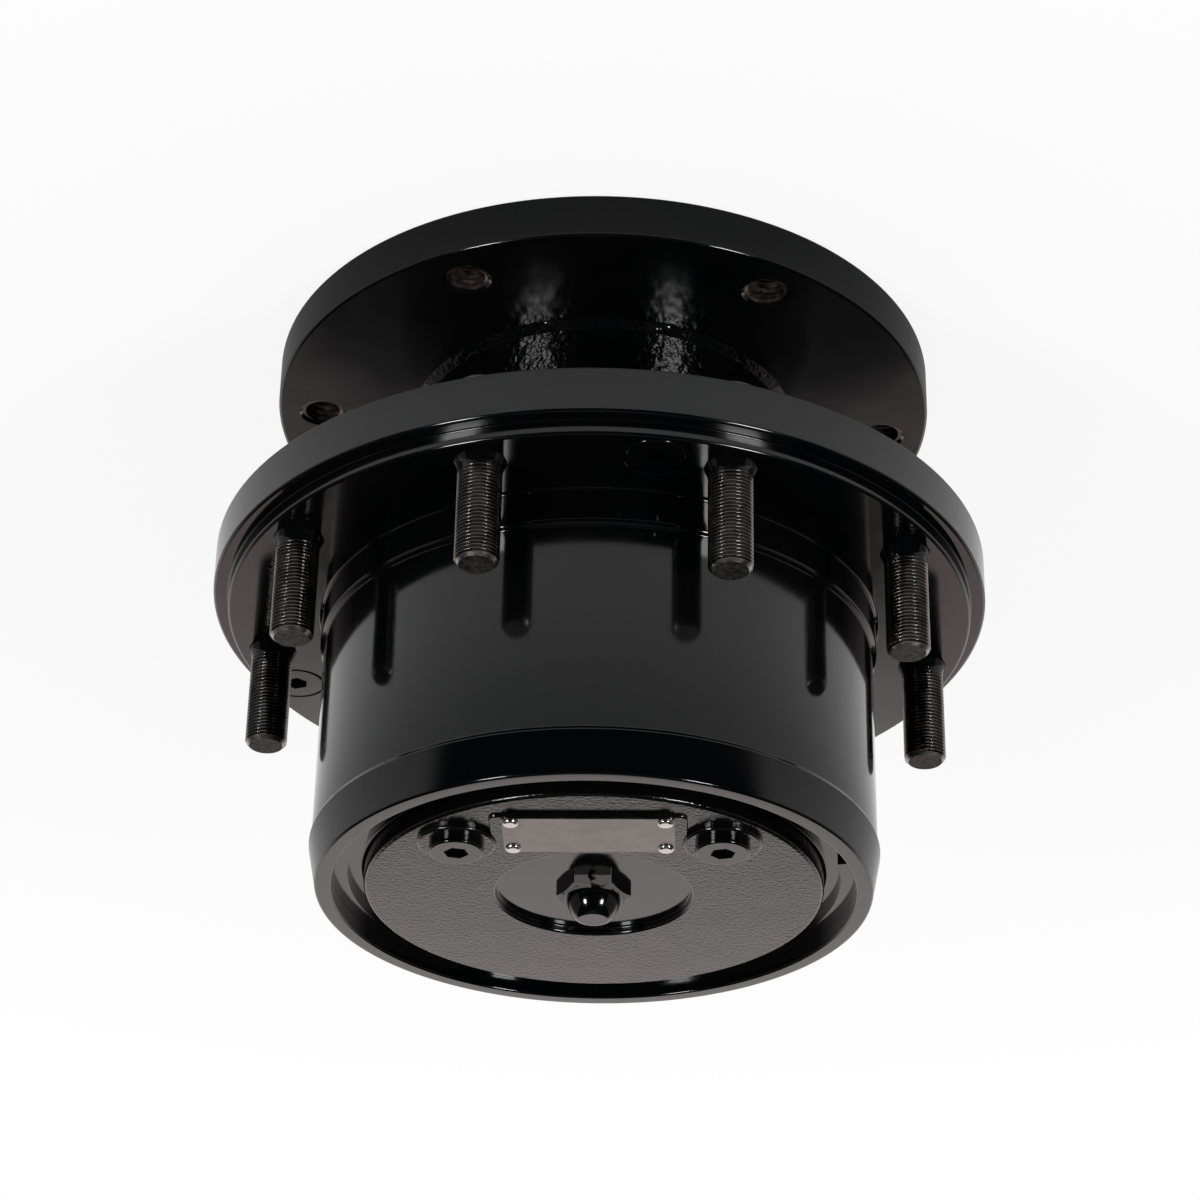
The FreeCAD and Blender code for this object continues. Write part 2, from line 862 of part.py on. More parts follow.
def carrier_dowels(growth=0.0):
    """Dowels that carry the torque from the output carrier into the spindle, between the screws."""
    middle = nose
    dowel = disc(
        carrier_dowel_radius + growth,
        middle - carrier_dowel_length / 2,
        middle + carrier_dowel_length / 2,
        polar(carrier_bolt_arm, 0),
    )
    return turned_copies(dowel, carrier_dowel_count, carrier_bolt_start + 180.0 / carrier_bolt_count)


def make_output_carrier():
    """Fixed carrier plate for the output planets."""
    radius = output_arm + output_pin_radius + carrier_margin
    plate = ring(radius, carrier_bore, nose, carrier_front)
    pin_hole = disc(output_pin_radius + press_gap, nose, carrier_front)
    cuts = planet_places(pin_hole, output_arm)
    cuts += carrier_bolt_shanks(carrier_bolt_radius + press_gap)
    cuts += carrier_bolt_heads(carrier_bolt_head_radius + head_room, carrier_front)
    cuts += carrier_dowels(press_gap)
    return plate.cut(cuts)


def sun_snap_back():
    """Height of the groove in the output sun's front end."""
    return input_carrier_front - snap_thickness - axial_play


def make_output_sun():
    """Sun of the output stage, long enough to reach through the input carrier's spline."""
    half_pitch = 180.0 / output_sun_teeth
    back = carrier_front + washer_thickness + axial_play
    groove = sun_snap_back()
    bar = toothed_bar(gear_face(output_sun_teeth), back, input_carrier_front)
    bar = bar.cut(disc(sun_bore, back, input_carrier_front))
    groove_radius = output_sun_tip - snap_width
    bar = bar.cut(ring(2 * output_sun_tip, groove_radius, groove, groove + snap_thickness))
    return turn_about_axis(bar, half_pitch)


# Input stage


def make_input_carrier():
    """Turning carrier plate for the input planets, splined on the output sun, recessed for its snap ring."""
    radius = input_arm + input_pin_radius + input_carrier_margin
    half_pitch = 180.0 / output_sun_teeth
    plate = disc(radius, input_carrier_back, input_carrier_front)
    socket = toothed_face(
        module,
        output_sun_teeth,
        module * (output_sun_teeth / 2 - dedendum) + spline_gap,
        output_sun_tip + spline_gap,
        -spline_gap + flank_gap,
        pressure_angle,
    )
    socket = toothed_bar(socket, input_carrier_back, input_carrier_front)
    recess_floor_height = sun_snap_back() - axial_play
    cuts = [turn_about_axis(socket, half_pitch)]
    cuts.append(disc(output_sun_tip + snap_width, recess_floor_height, input_carrier_front))
    pin_hole = disc(input_pin_radius + press_gap, input_carrier_back, input_carrier_front)
    cuts += planet_places(pin_hole, input_arm)
    return plate.cut(cuts)


def make_input_shaft():
    """Input shaft: rear spline, plain middle with a snap-ring groove, sun teeth and a nose facing the rod."""
    spline_back = coupling_front - shaft_spline_length
    groove_radius = shaft_radius - snap_depth
    body = turned(
        (0, coupling_front),
        (shaft_radius, coupling_front),
        (shaft_radius, spring_front),
        (groove_radius, spring_front),
        (groove_radius, spring_front + snap_thickness),
        (shaft_radius, spring_front + snap_thickness),
        (shaft_radius, input_planet_back),
        (shaft_nose_radius, input_planet_back),
        (shaft_nose_radius, shaft_front),
        (0, shaft_front),
    )
    spline = toothed_bar(spline_face(spline_gap, 0), spline_back, coupling_front)
    sun = toothed_bar(gear_face(input_sun_teeth), input_planet_back, input_planet_front)
    return body.fuse([spline, sun])


def make_input_coupling():
    """Splined sleeve between the motor's shaft and the input shaft."""
    hole = toothed_bar(spline_face(0, spline_gap), coupling_back, coupling_front)
    return disc(coupling_radius, coupling_back, coupling_front).cut(hole)


def make_shaft_spring():
    """Coil spring of square wire that holds the input shaft towards the cover."""
    inner = shaft_radius + spring_room
    pitch = (spring_length - spring_wire) / spring_turns
    helix = Part.makeHelix(pitch, pitch * spring_turns, inner + spring_wire / 2)
    outline = Part.makePolygon(
        [
            Vector(inner, 0, -spring_wire / 2),
            Vector(inner + spring_wire, 0, -spring_wire / 2),
            Vector(inner + spring_wire, 0, spring_wire / 2),
            Vector(inner, 0, spring_wire / 2),
            Vector(inner, 0, -spring_wire / 2),
        ]
    )
    coil = Part.Wire(helix.Edges).makePipeShell([outline], True, True)
    return shifted(coil, 0, 0, spring_back + spring_wire / 2)


# Cover


def cover_place(shape, distance, angle=-90.0):
    """Copy of a shape, made on the axis, at a place on the cover; the cover stands a little turned."""
    place = polar(distance, angle)
    return turn_about_axis(shifted(shape, place.x, place.y), cover_turn)


def oil_plug_places(shape):
    """The shape at both oil plugs."""
    return [cover_place(shape, oil_plug_distance, -90.0 + side * oil_plug_angle) for side in (-1, 1)]


def make_cover():
    """Cast end cover: seated flange, raised face with a nameplate pad and two plug bosses, centre recess."""
    outer = mouth_radius - press_gap
    groove_middle = (cover_seat + cover_flange_front) / 2
    groove_half = cover_ring_section + ring_squeeze_room
    groove_radius = outer - 2 * cover_ring_section
    core_radius = mouth_radius - cover_core_wall
    body = turned(
        (0, cover_roof),
        (core_radius, cover_roof, cover_edge),
        (core_radius, cover_seat),
        (outer, cover_seat),
        (outer, groove_middle - groove_half),
        (groove_radius, groove_middle - groove_half),
        (groove_radius, groove_middle + groove_half),
        (outer, groove_middle + groove_half),
        (outer, cover_flange_front),
        (cover_face_radius, cover_flange_front, cover_edge),
        (cover_face_radius, cover_face, cover_edge),
        (recess_radius, cover_face),
        (recess_radius, recess_floor),
        (0, recess_floor),
    )
    pad = rounded_plate(pad_width, pad_depth, pad_corner, recess_floor, pad_face)
    pad = pad.makeFillet(pad_edge, edges_at(pad, pad_face))
    boss = turned(
        (0, recess_floor),
        (oil_boss_radius, recess_floor),
        (oil_boss_radius, oil_boss_face, pad_edge),
        (0, oil_boss_face),
    )
    solid = body.fuse([cover_place(pad, pad_distance)] + oil_plug_places(boss))
    cuts = oil_plug_places(oil_thread(press_gap)) + plate_screw_places(plate_screw(press_gap))
    cuts.append(disc(recess_radius, recess_floor, oil_boss_face))
    cuts.append(disc(cap_stem_radius + press_gap, cover_roof, recess_floor))
    return solid.cut(cuts)


def make_cover_retaining_ring():
    """Flat internal retaining ring in the hub's groove, open over a short arc."""
    inner = mouth_radius - retainer_showing
    outer = retainer_groove_radius - press_gap
    reach = 2 * outer
    gap_end = retainer_gap_start + retainer_gap_angle
    opening = Part.makePolygon(
        [
            Vector(0, 0, cover_flange_front),
            polar(reach, retainer_gap_start, cover_flange_front),
            polar(reach, gap_end, cover_flange_front),
            Vector(0, 0, cover_flange_front),
        ]
    )
    wedge = Part.Face(opening).extrude(Vector(0, 0, retainer_thickness))
    return ring(outer, inner, cover_flange_front, retainer_front).cut(wedge)


def make_cover_o_ring():
    """O-ring in the cover's rim."""
    middle = (cover_seat + cover_flange_front) / 2
    return o_ring(mouth_radius - press_gap - cover_ring_section, cover_ring_section, middle)


def oil_thread(growth=0.0):
    """Threaded stem of an oil plug."""
    return disc(oil_thread_radius + growth, oil_boss_face - oil_thread_length, oil_boss_face)


def make_oil_plugs():
    """Oil fill and drain plugs with a round head and a hexagon socket."""
    top = oil_boss_face + oil_plug_head
    ring_middle = oil_thread_radius + oil_ring_section
    head = turned(
        (0, oil_boss_face),
        (oil_plug_radius, oil_boss_face),
        (oil_plug_radius, top, oil_plug_edge),
        (0, top),
    )
    groove_front = oil_boss_face + 2 * oil_ring_section
    groove = ring(ring_middle + oil_ring_section, oil_thread_radius, oil_boss_face, groove_front)
    plug = head.cut(groove).fuse(oil_thread()).removeSplitter()
    plug = plug.cut(hexagon(oil_plug_socket, top - oil_socket_depth, top))
    return group(oil_plug_places(plug))


def make_oil_plug_o_rings():
    """O-rings under the oil plugs' heads."""
    height = oil_boss_face + oil_ring_section
    return group(oil_plug_places(o_ring(oil_thread_radius + oil_ring_section, oil_ring_section, height)))


def cap_stem_back():
    """Height of the inner end of the disconnect cap's stem."""
    return cover_roof + cap_stem_clearance


def cap_ring_middle():
    """Height of the O-ring on the disconnect cap's stem."""
    return (cap_stem_back() + recess_floor) / 2


def make_disconnect_cap():
    """Hexagon cap with a domed nose; its hollow stem screws into the cover and holds the end of the rod."""
    hex_top = recess_floor + cap_hex_height
    tip = hex_top + cap_nose_height
    stem_back = cap_stem_back()
    groove_middle = cap_ring_middle()
    groove_radius = cap_stem_radius - 2 * cap_ring_section
    corner_radius = cap_hex / math.sqrt(3)
    stem = turned(
        (rod_radius + press_gap, stem_back),
        (cap_stem_radius, stem_back),
        (cap_stem_radius, groove_middle - cap_ring_section),
        (groove_radius, groove_middle - cap_ring_section),
        (groove_radius, groove_middle + cap_ring_section),
        (cap_stem_radius, groove_middle + cap_ring_section),
        (cap_stem_radius, recess_floor),
        (rod_radius + press_gap, recess_floor),
    )
    chamfered = turned(
        (0, recess_floor),
        (corner_radius, recess_floor),
        (corner_radius, hex_top - cap_hex_chamfer),
        (corner_radius - 2 * cap_hex_chamfer, hex_top),
        (0, hex_top),
    )
    nut = hexagon(cap_hex, recess_floor, hex_top).common(chamfered)
    nut = turn_about_axis(nut, cover_turn)
    bulge_radius = (cap_nose_radius + cap_tip_radius) / 2 + cap_nose_bulge
    bulge = Vector(bulge_radius, 0, hex_top + cap_nose_height / 2)
    foot = Vector(cap_nose_radius, 0, hex_top)
    shoulder = Vector(cap_tip_radius, 0, tip)
    outline = Part.Wire(
        [
            Part.LineSegment(Vector(0, 0, hex_top), foot).toShape(),
            Part.Arc(foot, bulge, shoulder).toShape(),
            Part.LineSegment(shoulder, Vector(0, 0, tip)).toShape(),
            Part.LineSegment(Vector(0, 0, tip), Vector(0, 0, hex_top)).toShape(),
        ]
    )
    dome = Part.Face(outline).revolve(Vector(), AXIS, 360)
    dome = dome.makeFillet(cap_tip_round, edges_at(dome, tip))
    return nut.fuse([stem, dome]).removeSplitter()


def make_disconnect_cap_o_ring():
    """O-ring in the groove of the cap's stem."""
    return o_ring(cap_stem_radius - cap_ring_section, cap_ring_section, cap_ring_middle())


def make_disconnect_rod():
    """Headed rod under the cap; the cap, turned over, pushes it in to take the input shaft out of drive."""
    return turned(
        (0, rod_back),
        ((rod_radius + rod_head_lip), rod_back),
        ((rod_radius + rod_head_lip), rod_back + rod_head_thickness),
        (rod_radius, rod_back + rod_head_thickness),
        (rod_radius, recess_floor - axial_play),
        (0, recess_floor - axial_play),
    )


def plate_size():
    """Width and depth of the nameplate."""
    return pad_width - 2 * plate_side_border, pad_depth - 2 * plate_end_border


def plate_screw(growth=0.0):
    """Shank of a drive screw through the nameplate into the pad."""
    return disc(plate_screw_radius + growth, pad_face - plate_screw_length, pad_face + plate_thickness)


def plate_screw_places(shape):
    """The shape at the nameplate's four corners."""
    width, depth = plate_size()
    across = width / 2 - plate_screw_inset
    along = depth / 2 - plate_screw_inset
    places = []
    for x in (-across, across):
        for y in (-along, along):
            places.append(cover_place(shifted(shape, x, y), pad_distance))
    return places


def make_nameplate():
    """Bare thin plate on the cover's pad."""
    width, depth = plate_size()
    plate = rounded_plate(width, depth, plate_corner, pad_face, pad_face + plate_thickness)
    return cover_place(plate, pad_distance).cut(plate_screw_places(plate_screw(press_gap)))


def make_nameplate_screws():
    """Drive screws with low domed heads."""
    head_radius = plate_screw_radius + plate_screw_lip
    seat = pad_face + plate_thickness
    top = seat + plate_screw_head
    head = turned(
        (0, seat),
        (head_radius, seat),
        (head_radius, top, plate_screw_round),
        (0, top),
    )
    return group(plate_screw_places(head.fuse(plate_screw()).removeSplitter()))


# The whole drive, one shape per node

inboard = TaperedBearing(inboard_bore, inboard_outside, inboard_width, roller_radius_inboard)
outboard = TaperedBearing(outboard_bore, outboard_outside, outboard_width, roller_radius_outboard)
parts = {
    "spindle": make_spindle(),
    "main_seal": make_main_seal(),
    "inboard_bearing_cone": facing_up(inboard.cone(), inboard_back),
    "inboard_bearing_cup": facing_up(inboard.cup(), inboard_back),
    "inboard_bearing_rollers": facing_up(group(inboard.rollers()), inboard_back),
    "inboard_bearing_cage": facing_up(inboard.cage(), inboard_back),
    "outboard_bearing_cone": facing_down(outboard.cone(), outboard_back),
    "outboard_bearing_cup": facing_down(outboard.cup(), outboard_back),
    "outboard_bearing_rollers": facing_down(group(outboard.rollers()), outboard_back),
    "outboard_bearing_cage": facing_down(outboard.cage(), outboard_back),
    "preload_shim": ring(
        outboard_bore + press_gap + shim_height, outboard_bore + press_gap, outboard_back, nose
    ),
    "hub": make_hub(),
    "wheel_studs": make_wheel_studs(),
    "flange_plugs": make_flange_plugs(),
    "ring_gear": make_ring_gear(),
    "ring_gear_pins": group(ring_gear_pins()),
    "output_carrier": make_output_carrier(),
    "carrier_bolts": make_carrier_bolts(),
    "carrier_dowels": group(carrier_dowels()),
    "output_planet_pins": group(
        planet_pins(output_arm, output_pin_radius, nose, output_planet_front, output_pin_front)
    ),
    "output_planet_washers": group(
        planet_washers(output_arm, output_pin_radius, output_planet_back, output_planet_front)
    ),
    "output_pin_snap_rings": group(pin_snap_rings(output_arm, output_pin_radius, output_planet_front)),
    "sun_thrust_washer": ring(
        carrier_bore + sun_washer_width, carrier_bore, carrier_front, carrier_front + washer_thickness
    ),
    "output_sun": make_output_sun(),
    "output_sun_snap_ring": snap_ring(
        output_sun_tip - snap_width + press_gap, output_sun_tip + snap_width / 2, sun_snap_back()
    ),
    "input_carrier": make_input_carrier(),
    "input_planet_pins": group(
        planet_pins(input_arm, input_pin_radius, input_carrier_back, input_planet_front, input_pin_front)
    ),
    "input_planet_washers": group(
        planet_washers(input_arm, input_pin_radius, input_planet_back, input_planet_front)
    ),
    "input_pin_snap_rings": group(pin_snap_rings(input_arm, input_pin_radius, input_planet_front)),
    "input_shaft": make_input_shaft(),
    "input_coupling": make_input_coupling(),
    "coupling_snap_ring": snap_ring(
        chamber_radius + snap_depth - press_gap - coupling_room,
        chamber_radius + snap_depth - press_gap,
        coupling_back - coupling_end_gap - snap_thickness,
    ),
    "shaft_spring": make_shaft_spring(),
    "spring_washer": ring(
        shaft_radius + bearing_gap + spring_washer_width,
        shaft_radius + bearing_gap,
        coupling_front,
        spring_back,
    ),
    "spring_snap_ring": snap_ring(
        shaft_radius - snap_depth + press_gap, shaft_radius + snap_width - snap_depth, spring_front
    ),
    "cover": make_cover(),
    "cover_o_ring": make_cover_o_ring(),
    "cover_retaining_ring": make_cover_retaining_ring(),
    "oil_plugs": make_oil_plugs(),
    "oil_plug_o_rings": make_oil_plug_o_rings(),
    "disconnect_cap": make_disconnect_cap(),
    "disconnect_cap_o_ring": make_disconnect_cap_o_ring(),
    "disconnect_rod": make_disconnect_rod(),
    "nameplate": make_nameplate(),
    "nameplate_screws": make_nameplate_screws(),
}

output_gears = planet_gear(
    output_planet_teeth, output_arm, output_planet_width, output_pin_radius, output_planet_back
)
output_needles = planet_needles(output_arm, output_planet_width, output_pin_radius, output_planet_back)
input_gears = planet_gear(
    input_planet_teeth, input_arm, input_planet_width, input_pin_radius, input_planet_back
)
input_needles = planet_needles(input_arm, input_planet_width, input_pin_radius, input_planet_back)
for number in range(1, planet_count + 1):
    parts[f"output_planet_{number}"] = output_gears[number - 1]
    parts[f"output_planet_needles_{number}"] = output_needles[number - 1]
    parts[f"input_planet_{number}"] = input_gears[number - 1]
    parts[f"input_planet_needles_{number}"] = input_needles[number - 1]

os.makedirs("parts", exist_ok=True)
for name, shape in parts.items():
    shape.exportStep(f"parts/{name}.step")
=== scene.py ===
"""Looks of a planetary wheel drive: gloss black enamel over castings, bare threaded studs, a capped cover.

The drive stands on its spindle flange with the cover up. The camera is turned over, as the photograph is.
"""

import math

import bpy
from mathutils import Matrix, Vector


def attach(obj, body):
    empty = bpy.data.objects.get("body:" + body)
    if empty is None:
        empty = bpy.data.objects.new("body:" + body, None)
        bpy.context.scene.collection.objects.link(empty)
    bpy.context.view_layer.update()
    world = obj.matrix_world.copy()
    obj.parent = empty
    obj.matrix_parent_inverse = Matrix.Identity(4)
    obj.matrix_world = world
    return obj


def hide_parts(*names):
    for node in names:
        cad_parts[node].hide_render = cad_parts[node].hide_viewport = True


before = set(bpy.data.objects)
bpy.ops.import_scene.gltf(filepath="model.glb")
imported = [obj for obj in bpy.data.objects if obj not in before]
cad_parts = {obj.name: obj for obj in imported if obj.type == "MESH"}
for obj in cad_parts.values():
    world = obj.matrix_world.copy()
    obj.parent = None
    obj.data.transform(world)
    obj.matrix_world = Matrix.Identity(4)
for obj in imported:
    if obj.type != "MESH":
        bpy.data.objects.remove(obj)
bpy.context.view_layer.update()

MM = 0.001
ROUND_STEPS = 192
SMALL_STEPS = 64
THREAD_STEPS = 28

# Points nearer than this, in metres, count as one
TINY = 1e-6

# Sizes in millimetres, the same as the solids'; heights count from the spindle's mounting face
spindle_flange_radius = 127.0
spindle_flange_front = 18.0
spindle_edge = 1.2
spindle_bolt_count = 6
spindle_bolt_arm = 110.0
spindle_bolt_start = -62.5
spindle_bolt_radius = 7.9375
spindle_bolt_pitch = 2.309
spindle_bolt_chamfer = 1.0
ridge_depth = 0.54 * spindle_bolt_pitch
ridge_root = 0.1
ridge_drop = 0.2
neck_radius = 62.0
collar_radius = 71.6
collar_front = 48.0
collar_fillet = 3.0
collar_edge = 2.0
bearing_shoulder = 66.0
inboard_bore = 55.0
inboard_seat_front = 91.0
outboard_bore = 44.0
outboard_seat_back = 103.0
spindle_nose = 128.0
motor_pilot_radius = 50.8
motor_pilot_depth = 11.0
motor_bolt_arm = 73.025
motor_bolt_radius = 6.35
motor_bolt_depth = 15.0
snap_groove_radius = 24.31
snap_groove_front = 12.6
chamber_radius = 23.11
chamber_front = 47.5
passage_radius = 16.0

hub_back = 52.0
boss_radius = 84.0
boss_edge = 3.0
seal_radius = 79.0
seal_front = 64.5
flange_back = 86.9
hub_fillet = 6.0
hub_flange_radius = 146.05
rim_front = 105.0
hub_edge = 1.2
wheel_face_radius = 140.35
wheel_face = 110.7
pilot_radius = 104.775
pilot_front = 123.7
barrel_radius = 103.2
step_slope = 1.2
band_back = 205.1
band_radius = 104.15
band_end_radius = 101.15
hub_front = 220.7
rim_edge = 0.8
mouth_radius = 95.0
retainer_groove_radius = 98.2
retainer_groove_back = 211.8
retainer_groove_front = 215.2
cover_seat = 201.5
ring_bore = 92.05
ring_seat = 141.2
cavity_radius = 88.05
cavity_floor = 121.5
cavity_fillet = 4.0
outboard_cup_radius = 65.2
outboard_cup_seat = 104.0
cup_land_radius = 61.2
inboard_cup_seat = 90.0
inboard_cup_radius = 75.0

stud_arm = 127.0
stud_count = 9
stud_start = -70.6
stud_radius = 7.9375
stud_pitch = 1.411
stud_tip = 151.5
stud_chamfer = 1.6
stud_knurl_radius = 8.4375
stud_head_radius = 11.5
stud_head_back = 80.9
thread_depth = 0.6134 * stud_pitch
crest_round = 0.06 * stud_pitch
paint_foot_radius = 9.3
paint_neck_radius = 8.2
paint_neck_round = 1.0
paint_neck = 113.1
paint_crest = 114.4
paint_end = 118.4
plug_start = -98.4
plug_count = 3
plug_radius = 10.9
plug_length = 14.0
plug_socket = 8.0
plug_socket_depth = 6.0
plug_gap = 0.35

cover_turn = 2.2
cover_radius = 94.95
cover_flange_front = 211.9
cover_face_radius = 83.5
cover_face = 220.0
cover_edge = 1.5
cover_roof = 206.0
cover_core_radius = 72.0
cover_groove_radius = 91.55
cover_groove_back = 204.6
cover_groove_front = 208.8
recess_radius = 35.5
recess_floor = 217.2
recess_edge = 1.0
recess_fillet = 0.6
cap_hole_radius = 11.05
pad_face = 221.0
pad_width = 69.0
pad_depth = 31.0
pad_corner = 3.0
pad_edge = 0.6
pad_distance = 54.5
pad_lean = 2.2
plate_width = 60.0
plate_depth = 27.0
plate_corner = 2.0
plate_thickness = 0.8
plate_edge = 0.2
plate_screw_inset = 3.2
plate_screw_radius = 2.8
plate_screw_head = 1.0
plate_screw_round = 0.9
oil_boss_radius = 14.0
oil_boss_face = 222.0
oil_boss_edge = 1.0
oil_plug_distance = 66.0
oil_plug_angle = 45.0
oil_plug_radius = 9.7
oil_plug_head = 3.0
oil_plug_edge = 0.8
oil_thread_radius = 7.0
oil_thread_length = 8.0
oil_socket = 7.9
oil_socket_depth = 5.0
retainer_inner = 89.5
retainer_outer = 98.15
retainer_front = 215.1
retainer_gap_start = -167.0
retainer_gap_angle = 24.0
retainer_end_round = 3.0
cap_hex = 23.8
cap_hex_front = 221.6
cap_hex_chamfer = 1.5
cap_hex_edge = 0.5
cap_nose_radius = 10.0
cap_tip_radius = 6.2
cap_tip = 229.6
cap_tip_round = 1.2
cap_nose_bulge = 0.7
cap_nose_steps = 12
cap_stem_radius = 11.0
cap_stem_back = 206.6

# How far a cutting tool runs past the face that it cuts, or a form goes into the one that it joins
overlap = 1.0

# Angles in degrees past which a surface keeps a crisp edge
crease = 38
thread_crease = 36
ridge_crease = 30


# Modelling steps that several pieces share


def deselect():
    """Leaves edit mode and drops every selection, because an operator acts on all that is selected."""
    if bpy.context.object and bpy.context.object.mode != "OBJECT":
        bpy.ops.object.mode_set(mode="OBJECT")
    bpy.ops.object.select_all(action="DESELECT")


def pick(piece):
    """Selects the piece alone and makes it active."""
    deselect()
    piece.select_set(True)
    bpy.context.view_layer.objects.active = piece


def place_in_mesh(piece):
    """Moves the object's place, turn and scale into its mesh."""
    pick(piece)
    bpy.ops.object.transform_apply(location=True, rotation=True, scale=True)


def turn_about_axis(piece, angle):
    """Turns the piece's mesh about the drive's axis, in degrees."""
    piece.data.transform(Matrix.Rotation(math.radians(angle), 4, "Z"))


def shift(piece, x, y=0.0, z=0.0):
    """Moves the piece's mesh, in millimetres."""
    piece.data.transform(Matrix.Translation((x * MM, y * MM, z * MM)))


def outward(piece):
    """Merges doubles and turns every face outwards."""
    pick(piece)
    bpy.ops.object.mode_set(mode="EDIT")
    bpy.ops.mesh.select_all(action="SELECT")
    bpy.ops.mesh.remove_doubles(threshold=TINY)
    bpy.ops.mesh.normals_make_consistent(inside=False)
    bpy.ops.object.mode_set(mode="OBJECT")


def open_unselected(piece, kind):
    """Leaves the piece alone with no point, edge or face selected, ready to choose some of this kind."""
    pick(piece)
    bpy.ops.object.mode_set(mode="EDIT")
    bpy.ops.mesh.select_mode(type=kind)
    bpy.ops.mesh.select_all(action="DESELECT")
    bpy.ops.object.mode_set(mode="OBJECT")


def bevel_edges(piece, wanted, width, segments=4):
    """Rounds the edges whose two ends pass a test together; the width is in millimetres."""
    open_unselected(piece, "EDGE")
    points = [vertex.co.copy() for vertex in piece.data.vertices]
    for edge in piece.data.edges:
        edge.select = wanted(points[edge.vertices[0]], points[edge.vertices[1]])
    bpy.ops.object.mode_set(mode="EDIT")
    bpy.ops.mesh.bevel(offset=width * MM, segments=segments, affect="EDGES")
    bpy.ops.object.mode_set(mode="OBJECT")


def upright(first, second):
    """Test for edges that run along the drive's axis."""
    return abs(first.z - second.z) > 10 * TINY


def both(test):
    """Test for edges whose two ends pass a test for points."""
    return lambda first, second: test(first) and test(second)


def on_circle(radius, height):
    """Test for points on a circle about the drive's axis."""
    return lambda point: (
        abs(point.xy.length - radius * MM) < 3 * TINY and abs(point.z - height * MM) < 3 * TINY
    )


def turned(name, corners, hollow=True, steps=ROUND_STEPS):
    """Round piece as from a lathe: a circle pulled from corner to corner, then rounded at its corners.

    A corner is (radius, height) or (radius, height, round). A hollow piece closes on its first corner and
    a solid one gets a flat face at each end.
    """
    deselect()
    radius, height = corners[0][:2]
    bpy.ops.mesh.primitive_circle_add(vertices=steps, radius=radius * MM, location=(0, 0, height * MM))
    piece = bpy.context.object
    piece.name = name
    place_in_mesh(piece)
    bpy.ops.object.mode_set(mode="EDIT")
    bpy.ops.mesh.select_mode(type="EDGE")
    bpy.ops.mesh.select_all(action="SELECT")
    for last, corner in zip(corners, corners[1:]):
        growth = corner[0] / last[0]
        rise = (corner[1] - last[1]) * MM
        bpy.ops.mesh.extrude_edges_move(TRANSFORM_OT_translate={"value": (0, 0, rise)})
        bpy.ops.transform.resize(value=(growth, growth, 1), center_override=(0, 0, 0))
    bpy.ops.mesh.select_all(action="DESELECT")
    bpy.ops.mesh.select_non_manifold()
    if hollow:
        bpy.ops.mesh.bridge_edge_loops()
    else:
        bpy.ops.mesh.fill_holes(sides=0)
    outward(piece)
    for corner in corners:
        if len(corner) > 2:
            bevel_edges(piece, both(on_circle(corner[0], corner[1])), corner[2])
    return piece


def plate(name, width, depth, corner, bottom, top, edge):
    """Flat plate with rounded corners and a softened upper edge, from a cube."""
    deselect()
    middle = (bottom + top) / 2 * MM
    size = (width * MM, depth * MM, (top - bottom) * MM)
    bpy.ops.mesh.primitive_cube_add(size=1, location=(0, 0, middle), scale=size)
    piece = bpy.context.object
    piece.name = name
    place_in_mesh(piece)
    bevel_edges(piece, upright, corner, segments=6)
    bevel_edges(piece, both(lambda point: abs(point.z - top * MM) < TINY), edge, segments=3)
    return piece


def hexagon(name, across_flats, bottom, top):
    """Six-sided bar with a flat towards -Y."""
    deselect()
    middle = (bottom + top) / 2 * MM
    bpy.ops.mesh.primitive_cylinder_add(
        vertices=6,
        radius=across_flats / math.sqrt(3) * MM,
        depth=(top - bottom) * MM,
        location=(0, 0, middle),
    )
    piece = bpy.context.object
    piece.name = name
    place_in_mesh(piece)
    turn_about_axis(piece, 30)
    return piece


def combine(piece, tools, operation):
    """Cuts, adds or crosses the tools with the piece by Boolean modifiers, and removes the tools."""
    for tool in tools:
        pick(piece)
        bpy.ops.object.modifier_add(type="BOOLEAN")
        boolean = piece.modifiers[-1]
        boolean.operation = operation
        boolean.solver = "EXACT"
        boolean.object = tool
        bpy.ops.object.modifier_apply(modifier=boolean.name)
        bpy.data.objects.remove(tool)


def copies_round(piece, count, start):
    """Copies of a piece round the drive's axis, each with its own mesh; the first model is removed."""
    copies = []
    for index in range(count):
        pick(piece)
        bpy.ops.object.duplicate()
        copy = bpy.context.object
        turn_about_axis(copy, start + 360 * index / count)
        copies.append(copy)
    bpy.data.objects.remove(piece)
    return copies


def beside_pad(piece):
    """The piece, modelled on the cover's centre line, and a copy, on either side of the nameplate pad."""
    pick(piece)
    bpy.ops.object.duplicate()
    twin = bpy.context.object
    turn_about_axis(piece, -oil_plug_angle)
    turn_about_axis(twin, oil_plug_angle)
    return [piece, twin]


def joined(name, pieces):
    """The pieces as one object."""
    deselect()
    for piece in pieces:
        piece.select_set(True)
    bpy.context.view_layer.objects.active = pieces[0]
    bpy.ops.object.join()
    pieces[0].name = name
    return pieces[0]


def finish_surface(piece, angle=crease):
    """Smooth shading with crisp edges, and flats that stay flat beside their rounded edges."""
    outward(piece)
    bpy.ops.object.shade_smooth_by_angle(angle=math.radians(angle))
    bpy.ops.object.modifier_add(type="WEIGHTED_NORMAL")
    weighted = piece.modifiers[-1]
    weighted.keep_sharp = True
    weighted.weight = 100
    bpy.ops.object.modifier_apply(modifier=weighted.name)


